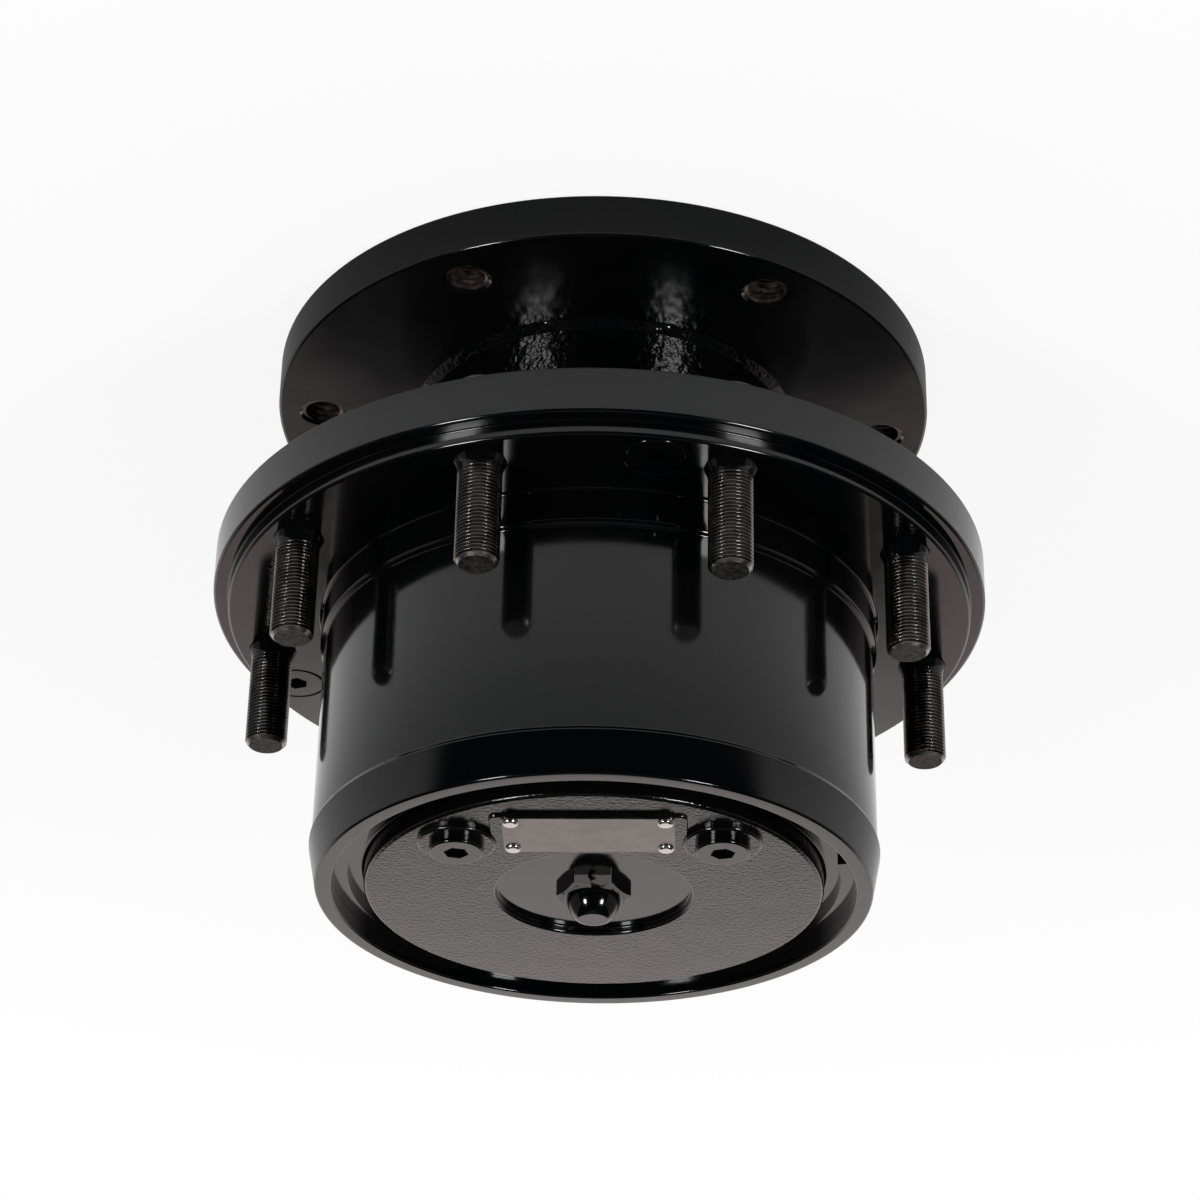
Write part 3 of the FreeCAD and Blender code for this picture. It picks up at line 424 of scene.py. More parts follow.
def helix(name, outline, pitch, turns, closed):
    """Sweeps an outline of (radius, height) points up a screw line."""
    deselect()
    bpy.ops.mesh.primitive_plane_add(size=MM)
    piece = bpy.context.object
    piece.name = name
    bpy.ops.object.mode_set(mode="EDIT")
    bpy.ops.mesh.select_mode(type="VERT")
    bpy.ops.mesh.select_all(action="SELECT")
    bpy.ops.mesh.merge(type="CENTER")
    bpy.ops.transform.translate(value=(outline[0][0] * MM, 0, outline[0][1] * MM))
    for last, point in zip(outline, outline[1:]):
        step = ((point[0] - last[0]) * MM, 0, (point[1] - last[1]) * MM)
        bpy.ops.mesh.extrude_vertices_move(TRANSFORM_OT_translate={"value": step})
    if closed:
        bpy.ops.mesh.select_all(action="SELECT")
        bpy.ops.mesh.edge_face_add()
        bpy.ops.mesh.delete(type="ONLY_FACE")
    bpy.ops.object.mode_set(mode="OBJECT")
    pick(piece)
    bpy.ops.object.modifier_add(type="SCREW")
    screw = piece.modifiers[-1]
    screw.axis = "Z"
    screw.angle = math.tau
    screw.screw_offset = pitch * MM
    screw.iterations = turns
    screw.steps = THREAD_STEPS
    screw.render_steps = THREAD_STEPS
    bpy.ops.object.modifier_apply(modifier=screw.name)
    outward(piece)
    return piece


def cut_level(piece, height, keep_above):
    """Cuts the piece level and closes the cut."""
    pick(piece)
    bpy.ops.object.mode_set(mode="EDIT")
    bpy.ops.mesh.select_all(action="SELECT")
    bpy.ops.mesh.bisect(
        plane_co=(0, 0, height * MM),
        plane_no=(0, 0, 1),
        use_fill=True,
        clear_inner=keep_above,
        clear_outer=not keep_above,
        threshold=TINY / 10,
    )
    bpy.ops.object.mode_set(mode="OBJECT")


# Spindle: fixed flange, cast neck and the stepped bore that takes the motor

spindle = turned(
    "spindle_casting",
    [
        (motor_pilot_radius, 0, spindle_edge),
        (spindle_flange_radius, 0, spindle_edge),
        (spindle_flange_radius, spindle_flange_front, spindle_edge),
        (collar_radius + collar_fillet, spindle_flange_front),
        (collar_radius, spindle_flange_front + collar_fillet),
        (collar_radius, collar_front, collar_edge),
        (neck_radius, collar_front),
        (neck_radius, bearing_shoulder, spindle_edge),
        (inboard_bore, bearing_shoulder),
        (inboard_bore, inboard_seat_front),
        (outboard_bore, outboard_seat_back),
        (outboard_bore, spindle_nose, spindle_edge),
        (passage_radius, spindle_nose, spindle_edge),
        (passage_radius, chamber_front),
        (chamber_radius, chamber_front),
        (chamber_radius, snap_groove_front),
        (snap_groove_radius, snap_groove_front),
        (snap_groove_radius, motor_pilot_depth),
        (motor_pilot_radius, motor_pilot_depth),
    ],
)
hole_mouth = spindle_bolt_radius + 2 * spindle_bolt_chamfer
bolt_hole = turned(
    "bolt_hole",
    [
        (hole_mouth, -spindle_bolt_chamfer),
        (spindle_bolt_radius, spindle_bolt_chamfer),
        (spindle_bolt_radius, spindle_flange_front - spindle_bolt_chamfer),
        (hole_mouth, spindle_flange_front + spindle_bolt_chamfer),
    ],
    hollow=False,
    steps=SMALL_STEPS,
)
shift(bolt_hole, spindle_bolt_arm)
motor_hole = turned(
    "motor_hole",
    [(motor_bolt_radius, -overlap), (motor_bolt_radius, motor_bolt_depth)],
    hollow=False,
    steps=SMALL_STEPS,
)
shift(motor_hole, motor_bolt_arm)
combine(spindle, copies_round(bolt_hole, spindle_bolt_count, spindle_bolt_start), "DIFFERENCE")
combine(spindle, copies_round(motor_hole, 2, 0), "DIFFERENCE")
finish_surface(spindle)

# Threads in the spindle's bolt holes: a bare helical ridge on each wall
ridge_turns = math.ceil(spindle_flange_front / spindle_bolt_pitch)
ridge = helix(
    "ridge",
    [
        (spindle_bolt_radius + ridge_root, 0.08 * spindle_bolt_pitch),
        (spindle_bolt_radius - ridge_depth, 0.42 * spindle_bolt_pitch),
        (spindle_bolt_radius - ridge_depth, 0.58 * spindle_bolt_pitch),
        (spindle_bolt_radius + ridge_root, 0.92 * spindle_bolt_pitch),
    ],
    spindle_bolt_pitch,
    ridge_turns,
    closed=True,
)
shift(ridge, 0, 0, -ridge_drop)
cut_level(ridge, spindle_bolt_chamfer, True)
cut_level(ridge, spindle_flange_front - spindle_bolt_chamfer, False)
shift(ridge, spindle_bolt_arm)
outward(ridge)
hole_threads = joined("spindle_hole_threads", copies_round(ridge, spindle_bolt_count, spindle_bolt_start))
finish_surface(hole_threads, ridge_crease)

# Hub: wheel flange, pilot, barrel and tapered end band

hub = turned(
    "hub_casting",
    [
        (seal_radius, hub_back, spindle_edge),
        (boss_radius, hub_back, boss_edge),
        (boss_radius, flange_back, hub_fillet),
        (hub_flange_radius, flange_back, hub_edge),
        (hub_flange_radius, rim_front, hub_edge),
        (wheel_face_radius, rim_front, hub_edge / 2),
        (wheel_face_radius, wheel_face, hub_edge),
        (pilot_radius, wheel_face, hub_edge),
        (pilot_radius, pilot_front, rim_edge),
        (barrel_radius, pilot_front + step_slope, rim_edge / 2),
        (barrel_radius, band_back - step_slope, rim_edge / 2),
        (band_radius, band_back, rim_edge / 2),
        (band_end_radius, hub_front, rim_edge),
        (mouth_radius, hub_front, rim_edge),
        (mouth_radius, retainer_groove_front),
        (retainer_groove_radius, retainer_groove_front),
        (retainer_groove_radius, retainer_groove_back),
        (mouth_radius, retainer_groove_back),
        (mouth_radius, cover_seat),
        (ring_bore, cover_seat),
        (ring_bore, ring_seat),
        (cavity_radius, ring_seat),
        (cavity_radius, cavity_floor, cavity_fillet),
        (outboard_cup_radius, cavity_floor),
        (outboard_cup_radius, outboard_cup_seat),
        (cup_land_radius, outboard_cup_seat),
        (cup_land_radius, inboard_cup_seat),
        (inboard_cup_radius, inboard_cup_seat),
        (inboard_cup_radius, seal_front),
        (seal_radius, seal_front),
    ],
)
plug_hole = turned(
    "plug_hole",
    [
        (plug_radius + plug_gap, flange_back - overlap),
        (plug_radius + plug_gap, wheel_face - plug_gap),
        (plug_radius + 3 * plug_gap, wheel_face + plug_gap),
    ],
    hollow=False,
    steps=SMALL_STEPS,
)
shift(plug_hole, stud_arm)
combine(hub, copies_round(plug_hole, plug_count, plug_start), "DIFFERENCE")
finish_surface(hub)

# Flush plugs in the wheel flange, with a hexagon socket

plug = turned(
    "plug",
    [
        (plug_radius, wheel_face - plug_length),
        (plug_radius, wheel_face, 2 * plug_gap),
    ],
    hollow=False,
    steps=SMALL_STEPS,
)
socket = hexagon("socket", plug_socket, wheel_face - plug_socket_depth, wheel_face + overlap)
combine(plug, [socket], "DIFFERENCE")
shift(plug, stud_arm)
plugs = joined("flange_plugs_flush", copies_round(plug, plug_count, plug_start))
finish_surface(plugs)

# Wheel studs: rolled thread, pressed-in shank and a round head behind the flange

root_radius = stud_radius - thread_depth
thread_start = wheel_face - 2 * stud_pitch
thread_turns = math.ceil((stud_tip - thread_start) / stud_pitch) + 1
stud = helix(
    "stud",
    [
        (root_radius, 0),
        (root_radius, 0.125 * stud_pitch),
        (stud_radius, 0.42 * stud_pitch),
        (stud_radius, 0.5 * stud_pitch),
        (stud_radius - crest_round, 0.6 * stud_pitch),
        (root_radius, 0.875 * stud_pitch),
        (root_radius, stud_pitch),
    ],
    stud_pitch,
    thread_turns,
    closed=False,
)
shift(stud, 0, 0, thread_start - stud_pitch)
cut_level(stud, thread_start, True)
cut_level(stud, stud_tip, False)
outward(stud)
tip_cone = turned(
    "tip_cone",
    [
        (stud_radius + 2 * overlap, thread_start - overlap),
        (stud_radius + 2 * overlap, stud_tip - stud_chamfer - 2 * overlap),
        (stud_radius - stud_chamfer - overlap, stud_tip + overlap),
    ],
    hollow=False,
    steps=SMALL_STEPS,
)
combine(stud, [tip_cone], "INTERSECT")
shank = turned(
    "shank",
    [
        (stud_head_radius, stud_head_back, hub_edge),
        (stud_head_radius, flange_back),
        (stud_knurl_radius, flange_back),
        (stud_knurl_radius, wheel_face - stud_pitch),
    ],
    hollow=False,
    steps=SMALL_STEPS,
)
combine(stud, [shank], "UNION")
shift(stud, stud_arm)
studs = joined("wheel_studs_threaded", copies_round(stud, stud_count, stud_start))
finish_surface(studs, thread_crease)

# Enamel that runs from the wheel face up the studs' first threads, then only fills their roots

skirt = turned(
    "skirt",
    [
        (root_radius - overlap, wheel_face - overlap / 2),
        (paint_foot_radius, wheel_face - overlap / 2),
        (paint_foot_radius, wheel_face),
        (paint_neck_radius, paint_neck, paint_neck_round),
        (stud_radius, paint_crest),
        (root_radius, paint_end),
        (root_radius - overlap, paint_end),
    ],
    steps=SMALL_STEPS,
)
shift(skirt, stud_arm)
skirts = joined("stud_paint_skirts", copies_round(skirt, stud_count, stud_start))
finish_surface(skirts)

# Cover: raised cast face with a nameplate pad, two plug bosses and a smooth centre recess

cover = turned(
    "cover_casting",
    [
        (cap_hole_radius, cover_roof),
        (cover_core_radius, cover_roof, cover_edge),
        (cover_core_radius, cover_seat),
        (cover_radius, cover_seat),
        (cover_radius, cover_groove_back),
        (cover_groove_radius, cover_groove_back),
        (cover_groove_radius, cover_groove_front),
        (cover_radius, cover_groove_front),
        (cover_radius, cover_flange_front),
        (cover_face_radius, cover_flange_front, cover_edge),
        (cover_face_radius, cover_face, cover_edge),
        (recess_radius, cover_face, recess_edge),
        (recess_radius, recess_floor, recess_fillet),
        (cap_hole_radius, recess_floor),
    ],
)
pad = plate("pad", pad_width, pad_depth, pad_corner, cover_face - 2 * overlap, pad_face, pad_edge)
open_unselected(pad, "VERT")
for vertex in pad.data.vertices:
    vertex.select = vertex.co.y < 0 and vertex.co.z > cover_face * MM
bpy.ops.object.mode_set(mode="EDIT")
bpy.ops.transform.translate(value=(0, pad_lean * MM, 0))
bpy.ops.object.mode_set(mode="OBJECT")
shift(pad, 0, -pad_distance)
boss = turned(
    "boss",
    [
        (oil_boss_radius, cover_face - 2 * overlap),
        (oil_boss_radius, oil_boss_face, oil_boss_edge),
    ],
    hollow=False,
    steps=SMALL_STEPS,
)
shift(boss, 0, -oil_plug_distance)
combine(cover, [pad] + beside_pad(boss), "UNION")
turn_about_axis(cover, cover_turn)
finish_surface(cover)

# Flat retaining ring in the hub's groove, swept round from its section and open over a short arc

retainer_width = retainer_outer - retainer_inner
retainer_thickness = retainer_front - cover_flange_front
retainer_middle = (retainer_inner + retainer_width / 2, 0, cover_flange_front + retainer_thickness / 2)
deselect()
bpy.ops.mesh.primitive_plane_add(
    size=1,
    location=[place * MM for place in retainer_middle],
    rotation=(math.radians(90), 0, 0),
)
retainer = bpy.context.object
retainer.name = "cover_retaining_ring_open"
retainer.scale = (retainer_width * MM, retainer_thickness * MM, 1)
place_in_mesh(retainer)
bpy.ops.object.mode_set(mode="EDIT")
bpy.ops.mesh.select_all(action="SELECT")
bpy.ops.mesh.spin(
    steps=ROUND_STEPS,
    angle=math.radians(360 - retainer_gap_angle),
    center=(0, 0, 0),
    axis=(0, 0, 1),
)
bpy.ops.mesh.select_all(action="SELECT")
bpy.ops.mesh.remove_doubles(threshold=TINY / 10)
bpy.ops.mesh.select_mode(type="EDGE")
bpy.ops.mesh.select_all(action="DESELECT")
bpy.ops.mesh.select_non_manifold()
bpy.ops.mesh.fill_holes(sides=0)
outward(retainer)
ring_ends = (0, math.radians(retainer_gap_angle), math.tau)


def at_outer_end(point):
    """Test for points on the outer corners of the ring's two ends."""
    angle = math.atan2(point.y, point.x) % math.tau
    near_end = min(abs(angle - end) for end in ring_ends) < 100 * TINY
    return near_end and abs(point.xy.length - retainer_outer * MM) < 10 * TINY


bevel_edges(retainer, both(at_outer_end), retainer_end_round, segments=5)
turn_about_axis(retainer, retainer_gap_start)
finish_surface(retainer)

# Oil plugs with a hexagon socket

oil_plug_top = oil_boss_face + oil_plug_head
oil_plug = turned(
    "oil_plug",
    [
        (oil_thread_radius, oil_boss_face - oil_thread_length),
        (oil_thread_radius, oil_boss_face),
        (oil_plug_radius, oil_boss_face),
        (oil_plug_radius, oil_plug_top, oil_plug_edge),
    ],
    hollow=False,
    steps=SMALL_STEPS,
)
socket = hexagon("socket", oil_socket, oil_plug_top - oil_socket_depth, oil_plug_top + overlap)
combine(oil_plug, [socket], "DIFFERENCE")
shift(oil_plug, 0, -oil_plug_distance)
oil_plugs = joined("oil_plugs_socketed", beside_pad(oil_plug))
turn_about_axis(oil_plugs, cover_turn)
finish_surface(oil_plugs)

# Bare nameplate and its four drive screws

plate_front = pad_face + plate_thickness
nameplate = plate("nameplate_bare", plate_width, plate_depth, plate_corner, pad_face, plate_front, plate_edge)
shift(nameplate, 0, -pad_distance)
turn_about_axis(nameplate, cover_turn)
finish_surface(nameplate)

screw = turned(
    "screw",
    [
        (plate_screw_radius, plate_front - plate_thickness / 2),
        (plate_screw_radius, plate_front + plate_screw_head, plate_screw_round),
    ],
    hollow=False,
    steps=SMALL_STEPS // 2,
)
screws = []
for side in (-1, 1):
    for end in (-1, 1):
        pick(screw)
        bpy.ops.object.duplicate()
        copy = bpy.context.object
        across = side * (plate_width / 2 - plate_screw_inset)
        along = end * (plate_depth / 2 - plate_screw_inset) - pad_distance
        shift(copy, across, along)
        screws.append(copy)
bpy.data.objects.remove(screw)
plate_screws = joined("nameplate_screws_domed", screws)
turn_about_axis(plate_screws, cover_turn)
finish_surface(plate_screws)

# Disconnect cap: chamfered hexagon with a domed nose, on a stem through the cover

cap = hexagon("disconnect_cap_domed", cap_hex, recess_floor, cap_hex_front)
cap_corner = cap_hex / math.sqrt(3)
chamfer_cone = turned(
    "chamfer_cone",
    [
        (cap_corner + 2 * overlap, recess_floor - overlap),
        (cap_corner + 2 * overlap, cap_hex_front - cap_hex_chamfer - overlap),
        (cap_corner - 2 * cap_hex_chamfer - overlap, cap_hex_front + overlap / 2),
    ],
    hollow=False,
    steps=SMALL_STEPS,
)
bevel_edges(cap, upright, cap_hex_edge, segments=3)
combine(cap, [chamfer_cone], "INTERSECT")
turn_about_axis(cap, cover_turn)
nose_corners = [(cap_nose_radius, cap_hex_front - overlap)]
for climb in [step / cap_nose_steps for step in range(cap_nose_steps - 2)] + [1]:
    swell = 4 * cap_nose_bulge * climb * (1 - climb)
    nose_radius = cap_nose_radius + (cap_tip_radius - cap_nose_radius) * climb + swell
    nose_corners.append((nose_radius, cap_hex_front + (cap_tip - cap_hex_front) * climb))
nose_corners[-1] += (cap_tip_round,)
nose = turned("nose", nose_corners, hollow=False, steps=SMALL_STEPS)
stem = turned(
    "stem",
    [(cap_stem_radius, cap_stem_back), (cap_stem_radius, recess_floor + overlap)],
    hollow=False,
    steps=SMALL_STEPS,
)
combine(cap, [nose, stem], "UNION")
finish_surface(cap)


# Finishes


def colour(code):
    """Linear colour of an sRGB hex value such as #0a0a0b."""
    values = []
    for start in (1, 3, 5):
        value = int(code[start:start + 2], 16) / 255
        values.append(value / 12.92 if value <= 0.04045 else ((value + 0.055) / 1.055) ** 2.4)
    return (*values, 1)


def per_size(size):
    """Texture scale whose features are about this many millimetres across."""
    return 1 / (size * MM)


def add(tree, kind, inputs, **settings):
    """Adds a node with its settings; an input is a value or another node's socket."""
    node = tree.nodes.new(kind)
    for name, value in settings.items():
        setattr(node, name, value)
    for name, value in inputs.items():
        if isinstance(value, bpy.types.NodeSocket):
            tree.links.new(value, node.inputs[name])
        else:
            node.inputs[name].default_value = value
    return node


def finish(name, colours, roughness, metallic, patch, grain, depth, detail=3, spread=(0.35, 0.65)):
    """Procedural finish: two colours and two roughnesses in patches, and a bumped grain.

    The patch and grain sizes and the grain's depth are in millimetres. The spread is where in the patches'
    noise the first colour gives way to the second: a wide one is soft and a narrow one ragged.
    """
    material = bpy.data.materials.new(name)
    material.use_nodes = True
    tree = material.node_tree
    tree.nodes.clear()
    place = add(tree, "ShaderNodeTexCoord", {}).outputs["Object"]
    patches = add(tree, "ShaderNodeTexNoise", {"Vector": place, "Scale": per_size(patch), "Detail": 2})
    fine = add(tree, "ShaderNodeTexNoise", {"Vector": place, "Scale": per_size(grain), "Detail": detail})
    tone = add(tree, "ShaderNodeValToRGB", {"Fac": patches.outputs["Fac"]})
    tone.color_ramp.elements[0].position = spread[0]
    tone.color_ramp.elements[1].position = spread[1]
    tone.color_ramp.elements[0].color = colour(colours[0])
    tone.color_ramp.elements[1].color = colour(colours[1])
    sheen = add(
        tree,
        "ShaderNodeMapRange",
        {
            "Value": patches.outputs["Fac"],
            "From Min": spread[0],
            "From Max": spread[1],
            "To Min": roughness[0],
            "To Max": roughness[1],
        },
    )
    bump = add(tree, "ShaderNodeBump", {"Height": fine.outputs["Fac"], "Strength": 1, "Distance": depth * MM})
    shader = add(
        tree,
        "ShaderNodeBsdfPrincipled",
        {
            "Base Color": tone.outputs["Color"],
            "Roughness": sheen.outputs["Result"],
            "Metallic": metallic,
            "Normal": bump.outputs["Normal"],
        },
    )
    add(tree, "ShaderNodeOutputMaterial", {"Surface": shader.outputs["BSDF"]})
    return material


# Gloss black enamel sprayed on machined iron: deep black, a clear mirror and a faint orange peel
gloss_enamel = finish(
    "gloss_black_enamel", ("#030405", "#050506"), (0.08, 0.13),
    metallic=0, patch=40, grain=1.8, depth=0.004,
)

# The same enamel on sand-cast iron: the sand's grain shows through as small soft waves
cast_enamel = finish(
    "black_enamel_on_cast_iron", ("#050505", "#070707"), (0.09, 0.16),
    metallic=0, patch=12, grain=1.4, depth=0.12,
)

# The same enamel pooled on the spindle's front face: slow waves that break up what it mirrors
wavy_enamel = finish(
    "black_enamel_in_waves", ("#030405", "#050506"), (0.16, 0.22),
    metallic=0, patch=40, grain=5, depth=0.03,
)

# The same enamel on a rough core-cast neck: lumps that break the light into sparkles
rough_enamel = finish(
    "black_enamel_on_rough_casting", ("#030405", "#050506"), (0.05, 0.09),
    metallic=0, patch=14, grain=3.4, depth=0.45, detail=2,
)

# Oiled alloy steel with a rolled thread: dark grey metal, worn a little lighter in patches
stud_finish = finish(
    "oiled_alloy_steel", ("#5a5856", "#74716e"), (0.16, 0.24),
    metallic=1, patch=5, grain=0.9, depth=0.01,
)

# The studs' turned end chamfer: the lightest steel on them
chamfer_finish = finish(
    "turned_alloy_steel", ("#8a8784", "#a5a29e"), (0.26, 0.36),
    metallic=1, patch=3, grain=0.5, depth=0.01,
)

# The studs' sawn ends: dull and mottled, dark with lighter scuffs
end_finish = finish(
    "sawn_alloy_steel", ("#2c2b2a", "#6b6966"), (0.5, 0.65),
    metallic=1, patch=2.2, grain=0.7, depth=0.06,
)

# Freshly tapped iron: bare, brownish grey and scuffed
tapped_finish = finish(
    "tapped_cast_iron", ("#5a4f48", "#7c7068"), (0.3, 0.45),
    metallic=1, patch=3, grain=0.8, depth=0.02,
)

# Aluminium plate under a thin wash of the same enamel: a satin grey, unevenly covered
plate_finish = finish(
    "washed_aluminium_plate", ("#6f6c68", "#8a8681"), (0.2, 0.3),
    metallic=1, patch=7, grain=4, depth=0.02,
)

# Plated drive screws: bright and smooth
screw_finish = finish(
    "zinc_plated_steel", ("#c4c4c1", "#dadad7"), (0.16, 0.24),
    metallic=1, patch=2, grain=0.7, depth=0.01,
)

# Case-hardened gears: ground, even grey with fine grinding grain
gear_finish = finish(
    "ground_gear_steel", ("#83858a", "#9a9ca0"), (0.26, 0.36),
    metallic=1, patch=8, grain=0.6, depth=0.006,
)

# Bearing races and rollers: lapped and bright
bearing_finish = finish(
    "lapped_bearing_steel", ("#a3a5a9", "#b6b8bb"), (0.12, 0.2),
    metallic=1, patch=10, grain=0.5, depth=0.002,
)

# Pressed sheet cages: duller, with slight drawing marks
cage_finish = finish(
    "pressed_sheet_steel", ("#6f7073", "#85868a"), (0.35, 0.45),
    metallic=1, patch=6, grain=1.0, depth=0.01,
)

# Black enamel that gives way to a dull grey in ragged patches, for the cap hexagon's chamfer and its near
# flat
grey_patched_enamel = finish(
    "enamel_grey_in_ragged_patches", ("#050506", "#595754"), (0.12, 0.55),
    metallic=0, patch=3.2, grain=0.8, depth=0.05, spread=(0.36, 0.42),
)

# Oil-blackened spring wire and snap rings
spring_finish = finish(
    "blackened_spring_steel", ("#26272b", "#35363a"), (0.32, 0.42),
    metallic=1, patch=4, grain=0.8, depth=0.008,
)

# Sintered bronze washers: warm and slightly porous
bronze_finish = finish(
    "sintered_bronze", ("#8a6a3a", "#a07d48"), (0.35, 0.48),
    metallic=1, patch=5, grain=0.5, depth=0.02,
)

# Nitrile rubber: matt near-black with a moulded grain
rubber_finish = finish(
    "nitrile_rubber", ("#131313", "#1b1b1b"), (0.5, 0.62),
    metallic=0, patch=6, grain=0.6, depth=0.02,
)

slot_finishes = {
    "black_enamel": gloss_enamel,
    "stud_steel": stud_finish,
    "screw_steel": screw_finish,
    "gear_steel": gear_finish,
    "bearing_steel": bearing_finish,
    "cage_steel": cage_finish,
    "spring_steel": spring_finish,
    "bronze": bronze_finish,
    "rubber": rubber_finish,
}
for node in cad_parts.values():
    for node_slot in node.material_slots:
        node_slot.material = slot_finishes[node_slot.material.name.split(".")[0]]


def dress(piece, finishes, body, node=None):
    """Gives a piece its finishes and the body that it moves with, and hides the node that it stands for."""
    piece.data.materials.clear()
    for each in finishes:
        piece.data.materials.append(each)
    for polygon in piece.data.polygons:
        polygon.material_index = 0
    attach(piece, body)
    if node:
        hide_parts(node)


def other_finish(piece, number, wanted):
    """Gives another of the piece's finishes to the faces that pass a test.

    The test gets the radius and height of a face's middle, in millimetres, and the face's normal.
    """
    for polygon in piece.data.polygons:
        if wanted(polygon.center.xy.length / MM, polygon.center.z / MM, polygon.normal):
            polygon.material_index = number


# How level or close, in millimetres, a face has to be to count as the one meant
level = 0.01

# Upward share of a normal on the studs' end chamfers, from and to
chamfer_rise = (0.65, 0.78)

dress(spindle, [gloss_enamel, rough_enamel, wavy_enamel], "spindle_body", "spindle")
neck_foot = collar_radius + collar_fillet
other_finish(spindle, 1, lambda r, z, face: neck_radius - 1 < r < neck_foot and z > spindle_flange_front)
other_finish(spindle, 2, lambda r, z, face: r > neck_foot and abs(z - spindle_flange_front) < level)
dress(hole_threads, [tapped_finish], "spindle_body")
dress(hub, [gloss_enamel, cast_enamel], "hub_body", "hub")
other_finish(hub, 1, lambda r, z, face: z < flange_back - 10 * level and r > boss_radius - boss_edge)
dress(plugs, [gloss_enamel], "hub_body", "flange_plugs")
dress(studs, [stud_finish, chamfer_finish, end_finish], "hub_body", "wheel_studs")
other_finish(
    studs,
    1,
    lambda r, z, face: z > stud_tip - stud_chamfer and chamfer_rise[0] < face.z < chamfer_rise[1],
)
other_finish(studs, 2, lambda r, z, face: z > stud_tip - level and face.z > 1 - level)
dress(skirts, [gloss_enamel], "hub_body")
dress(cover, [gloss_enamel, cast_enamel], "hub_body", "cover")
other_finish(
    cover,
    1,
    lambda r, z, face: r > recess_radius + recess_edge and z > cover_flange_front + cover_edge,
)
dress(retainer, [gloss_enamel], "hub_body", "cover_retaining_ring")
dress(oil_plugs, [gloss_enamel], "hub_body", "oil_plugs")
dress(nameplate, [plate_finish], "hub_body", "nameplate")
dress(plate_screws, [screw_finish], "hub_body", "nameplate_screws")
dress(cap, [gloss_enamel, grey_patched_enamel], "hub_body", "disconnect_cap")


def on_grey_patches(r, z, face):
    """Test for the hexagon's chamfer and its near flat."""
    on_hexagon = r > cap_nose_radius and recess_floor < z < cap_hex_front - level
    return on_hexagon and (face.z > 0.2 or face.y < -0.9)


other_finish(cap, 1, on_grey_patches)

# White room: it shows white to the camera and lights the drive at half that; in reflections its back
# wall is white up to a dark panel, the walls beside the panel are pale and the side walls dark

room_level = 0.5
wall_levels = (1.25, 0.2)
scene = bpy.context.scene
scene.view_settings.view_transform = "Standard"
world = bpy.data.worlds.new("white_room")
scene.world = world
world.use_nodes = True
room = world.node_tree
room.nodes.clear()


def either(tree, first, second):
    """Socket that is 1 where either of two sockets is."""
    larger = add(tree, "ShaderNodeMath", {}, operation="MAXIMUM")
    tree.links.new(first, larger.inputs[0])
    tree.links.new(second, larger.inputs[1])
    return larger.outputs[0]


def mirrored(tree):
    """Socket that is 1 for what shows in reflections and through glass."""
    path = add(tree, "ShaderNodeLightPath", {})
    return either(tree, path.outputs["Is Glossy Ray"], path.outputs["Is Transmission Ray"])


view_line = add(room, "ShaderNodeTexCoord", {}).outputs["Generated"]
line = add(room, "ShaderNodeSeparateXYZ", {"Vector": view_line})


def wall_ramp(tones):
    """Colours of the room's wall by their height above the horizon, in degrees."""
    ramp = add(room, "ShaderNodeValToRGB", {"Fac": line.outputs["Z"]})
    for number, (climb, tone) in enumerate(tones):
        stop = ramp.color_ramp.elements[number] if number < 2 else ramp.color_ramp.elements.new(1)
        stop.position = math.sin(math.radians(climb))
        stop.color = colour(tone)
    return ramp.outputs["Color"]


def aside_by(angle):
    """Sideways share of a view line that leaves the middle of the back wall by an angle, in degrees."""
    return math.tan(math.radians(angle))


# Heights in degrees and tones of the back wall, and of the walls beside its dark panel
back_tones = ((27.2, "#fff4f4"), (29.8, "#242424"), (34, "#0c0c0c"), (55, "#141414"), (85, "#606060"))
side_tones = (
    (24, "#fff4f4"),
    (28, "#dccbc9"),
    (33, "#cbbab7"),
    (35.5, "#0c0c0c"),
    (55, "#141414"),
    (85, "#606060"),
)
aside = add(room, "ShaderNodeMath", {0: line.outputs["X"], 1: line.outputs["Y"]}, operation="DIVIDE")
offset = add(room, "ShaderNodeMath", {0: aside.outputs["Value"]}, operation="ABSOLUTE")
beside = add(
    room,
    "ShaderNodeMapRange",
    {
        "Value": offset.outputs["Value"],
        "From Min": aside_by(5.9),
        "From Max": aside_by(6.8),
    },
)
beyond = add(
    room,
    "ShaderNodeMapRange",
    {
        "Value": offset.outputs["Value"],
        "From Min": aside_by(24),
        "From Max": aside_by(12),
        "To Max": beside.outputs["Result"],
    },
)
wall = add(
    room,
    "ShaderNodeMix",
    {0: beyond.outputs["Result"], 6: wall_ramp(back_tones), 7: wall_ramp(side_tones)},
    data_type="RGBA",
)
wall_level = add(
    room,
    "ShaderNodeMapRange",
    {
        "Value": offset.outputs["Value"],
        "From Min": aside_by(40),
        "From Max": aside_by(58),
        "To Min": wall_levels[0],
        "To Max": wall_levels[1],
    },
)
light_path = add(room, "ShaderNodeLightPath", {})
plain = add(room, "ShaderNodeMapRange", {"Value": light_path.outputs["Is Camera Ray"], "To Min": room_level})
open_room = add(
    room,
    "ShaderNodeBackground",
    {"Color": colour("#ffffff"), "Strength": plain.outputs["Result"]},
)
studio = add(
    room,
    "ShaderNodeBackground",
    {"Color": wall.outputs[2], "Strength": wall_level.outputs["Result"]},
)
background = add(room, "ShaderNodeMixShader", {"Fac": mirrored(room)})
room.links.new(open_room.outputs["Background"], background.inputs[1])
room.links.new(studio.outputs["Background"], background.inputs[2])
add(room, "ShaderNodeOutputWorld", {"Surface": background.outputs["Shader"]})

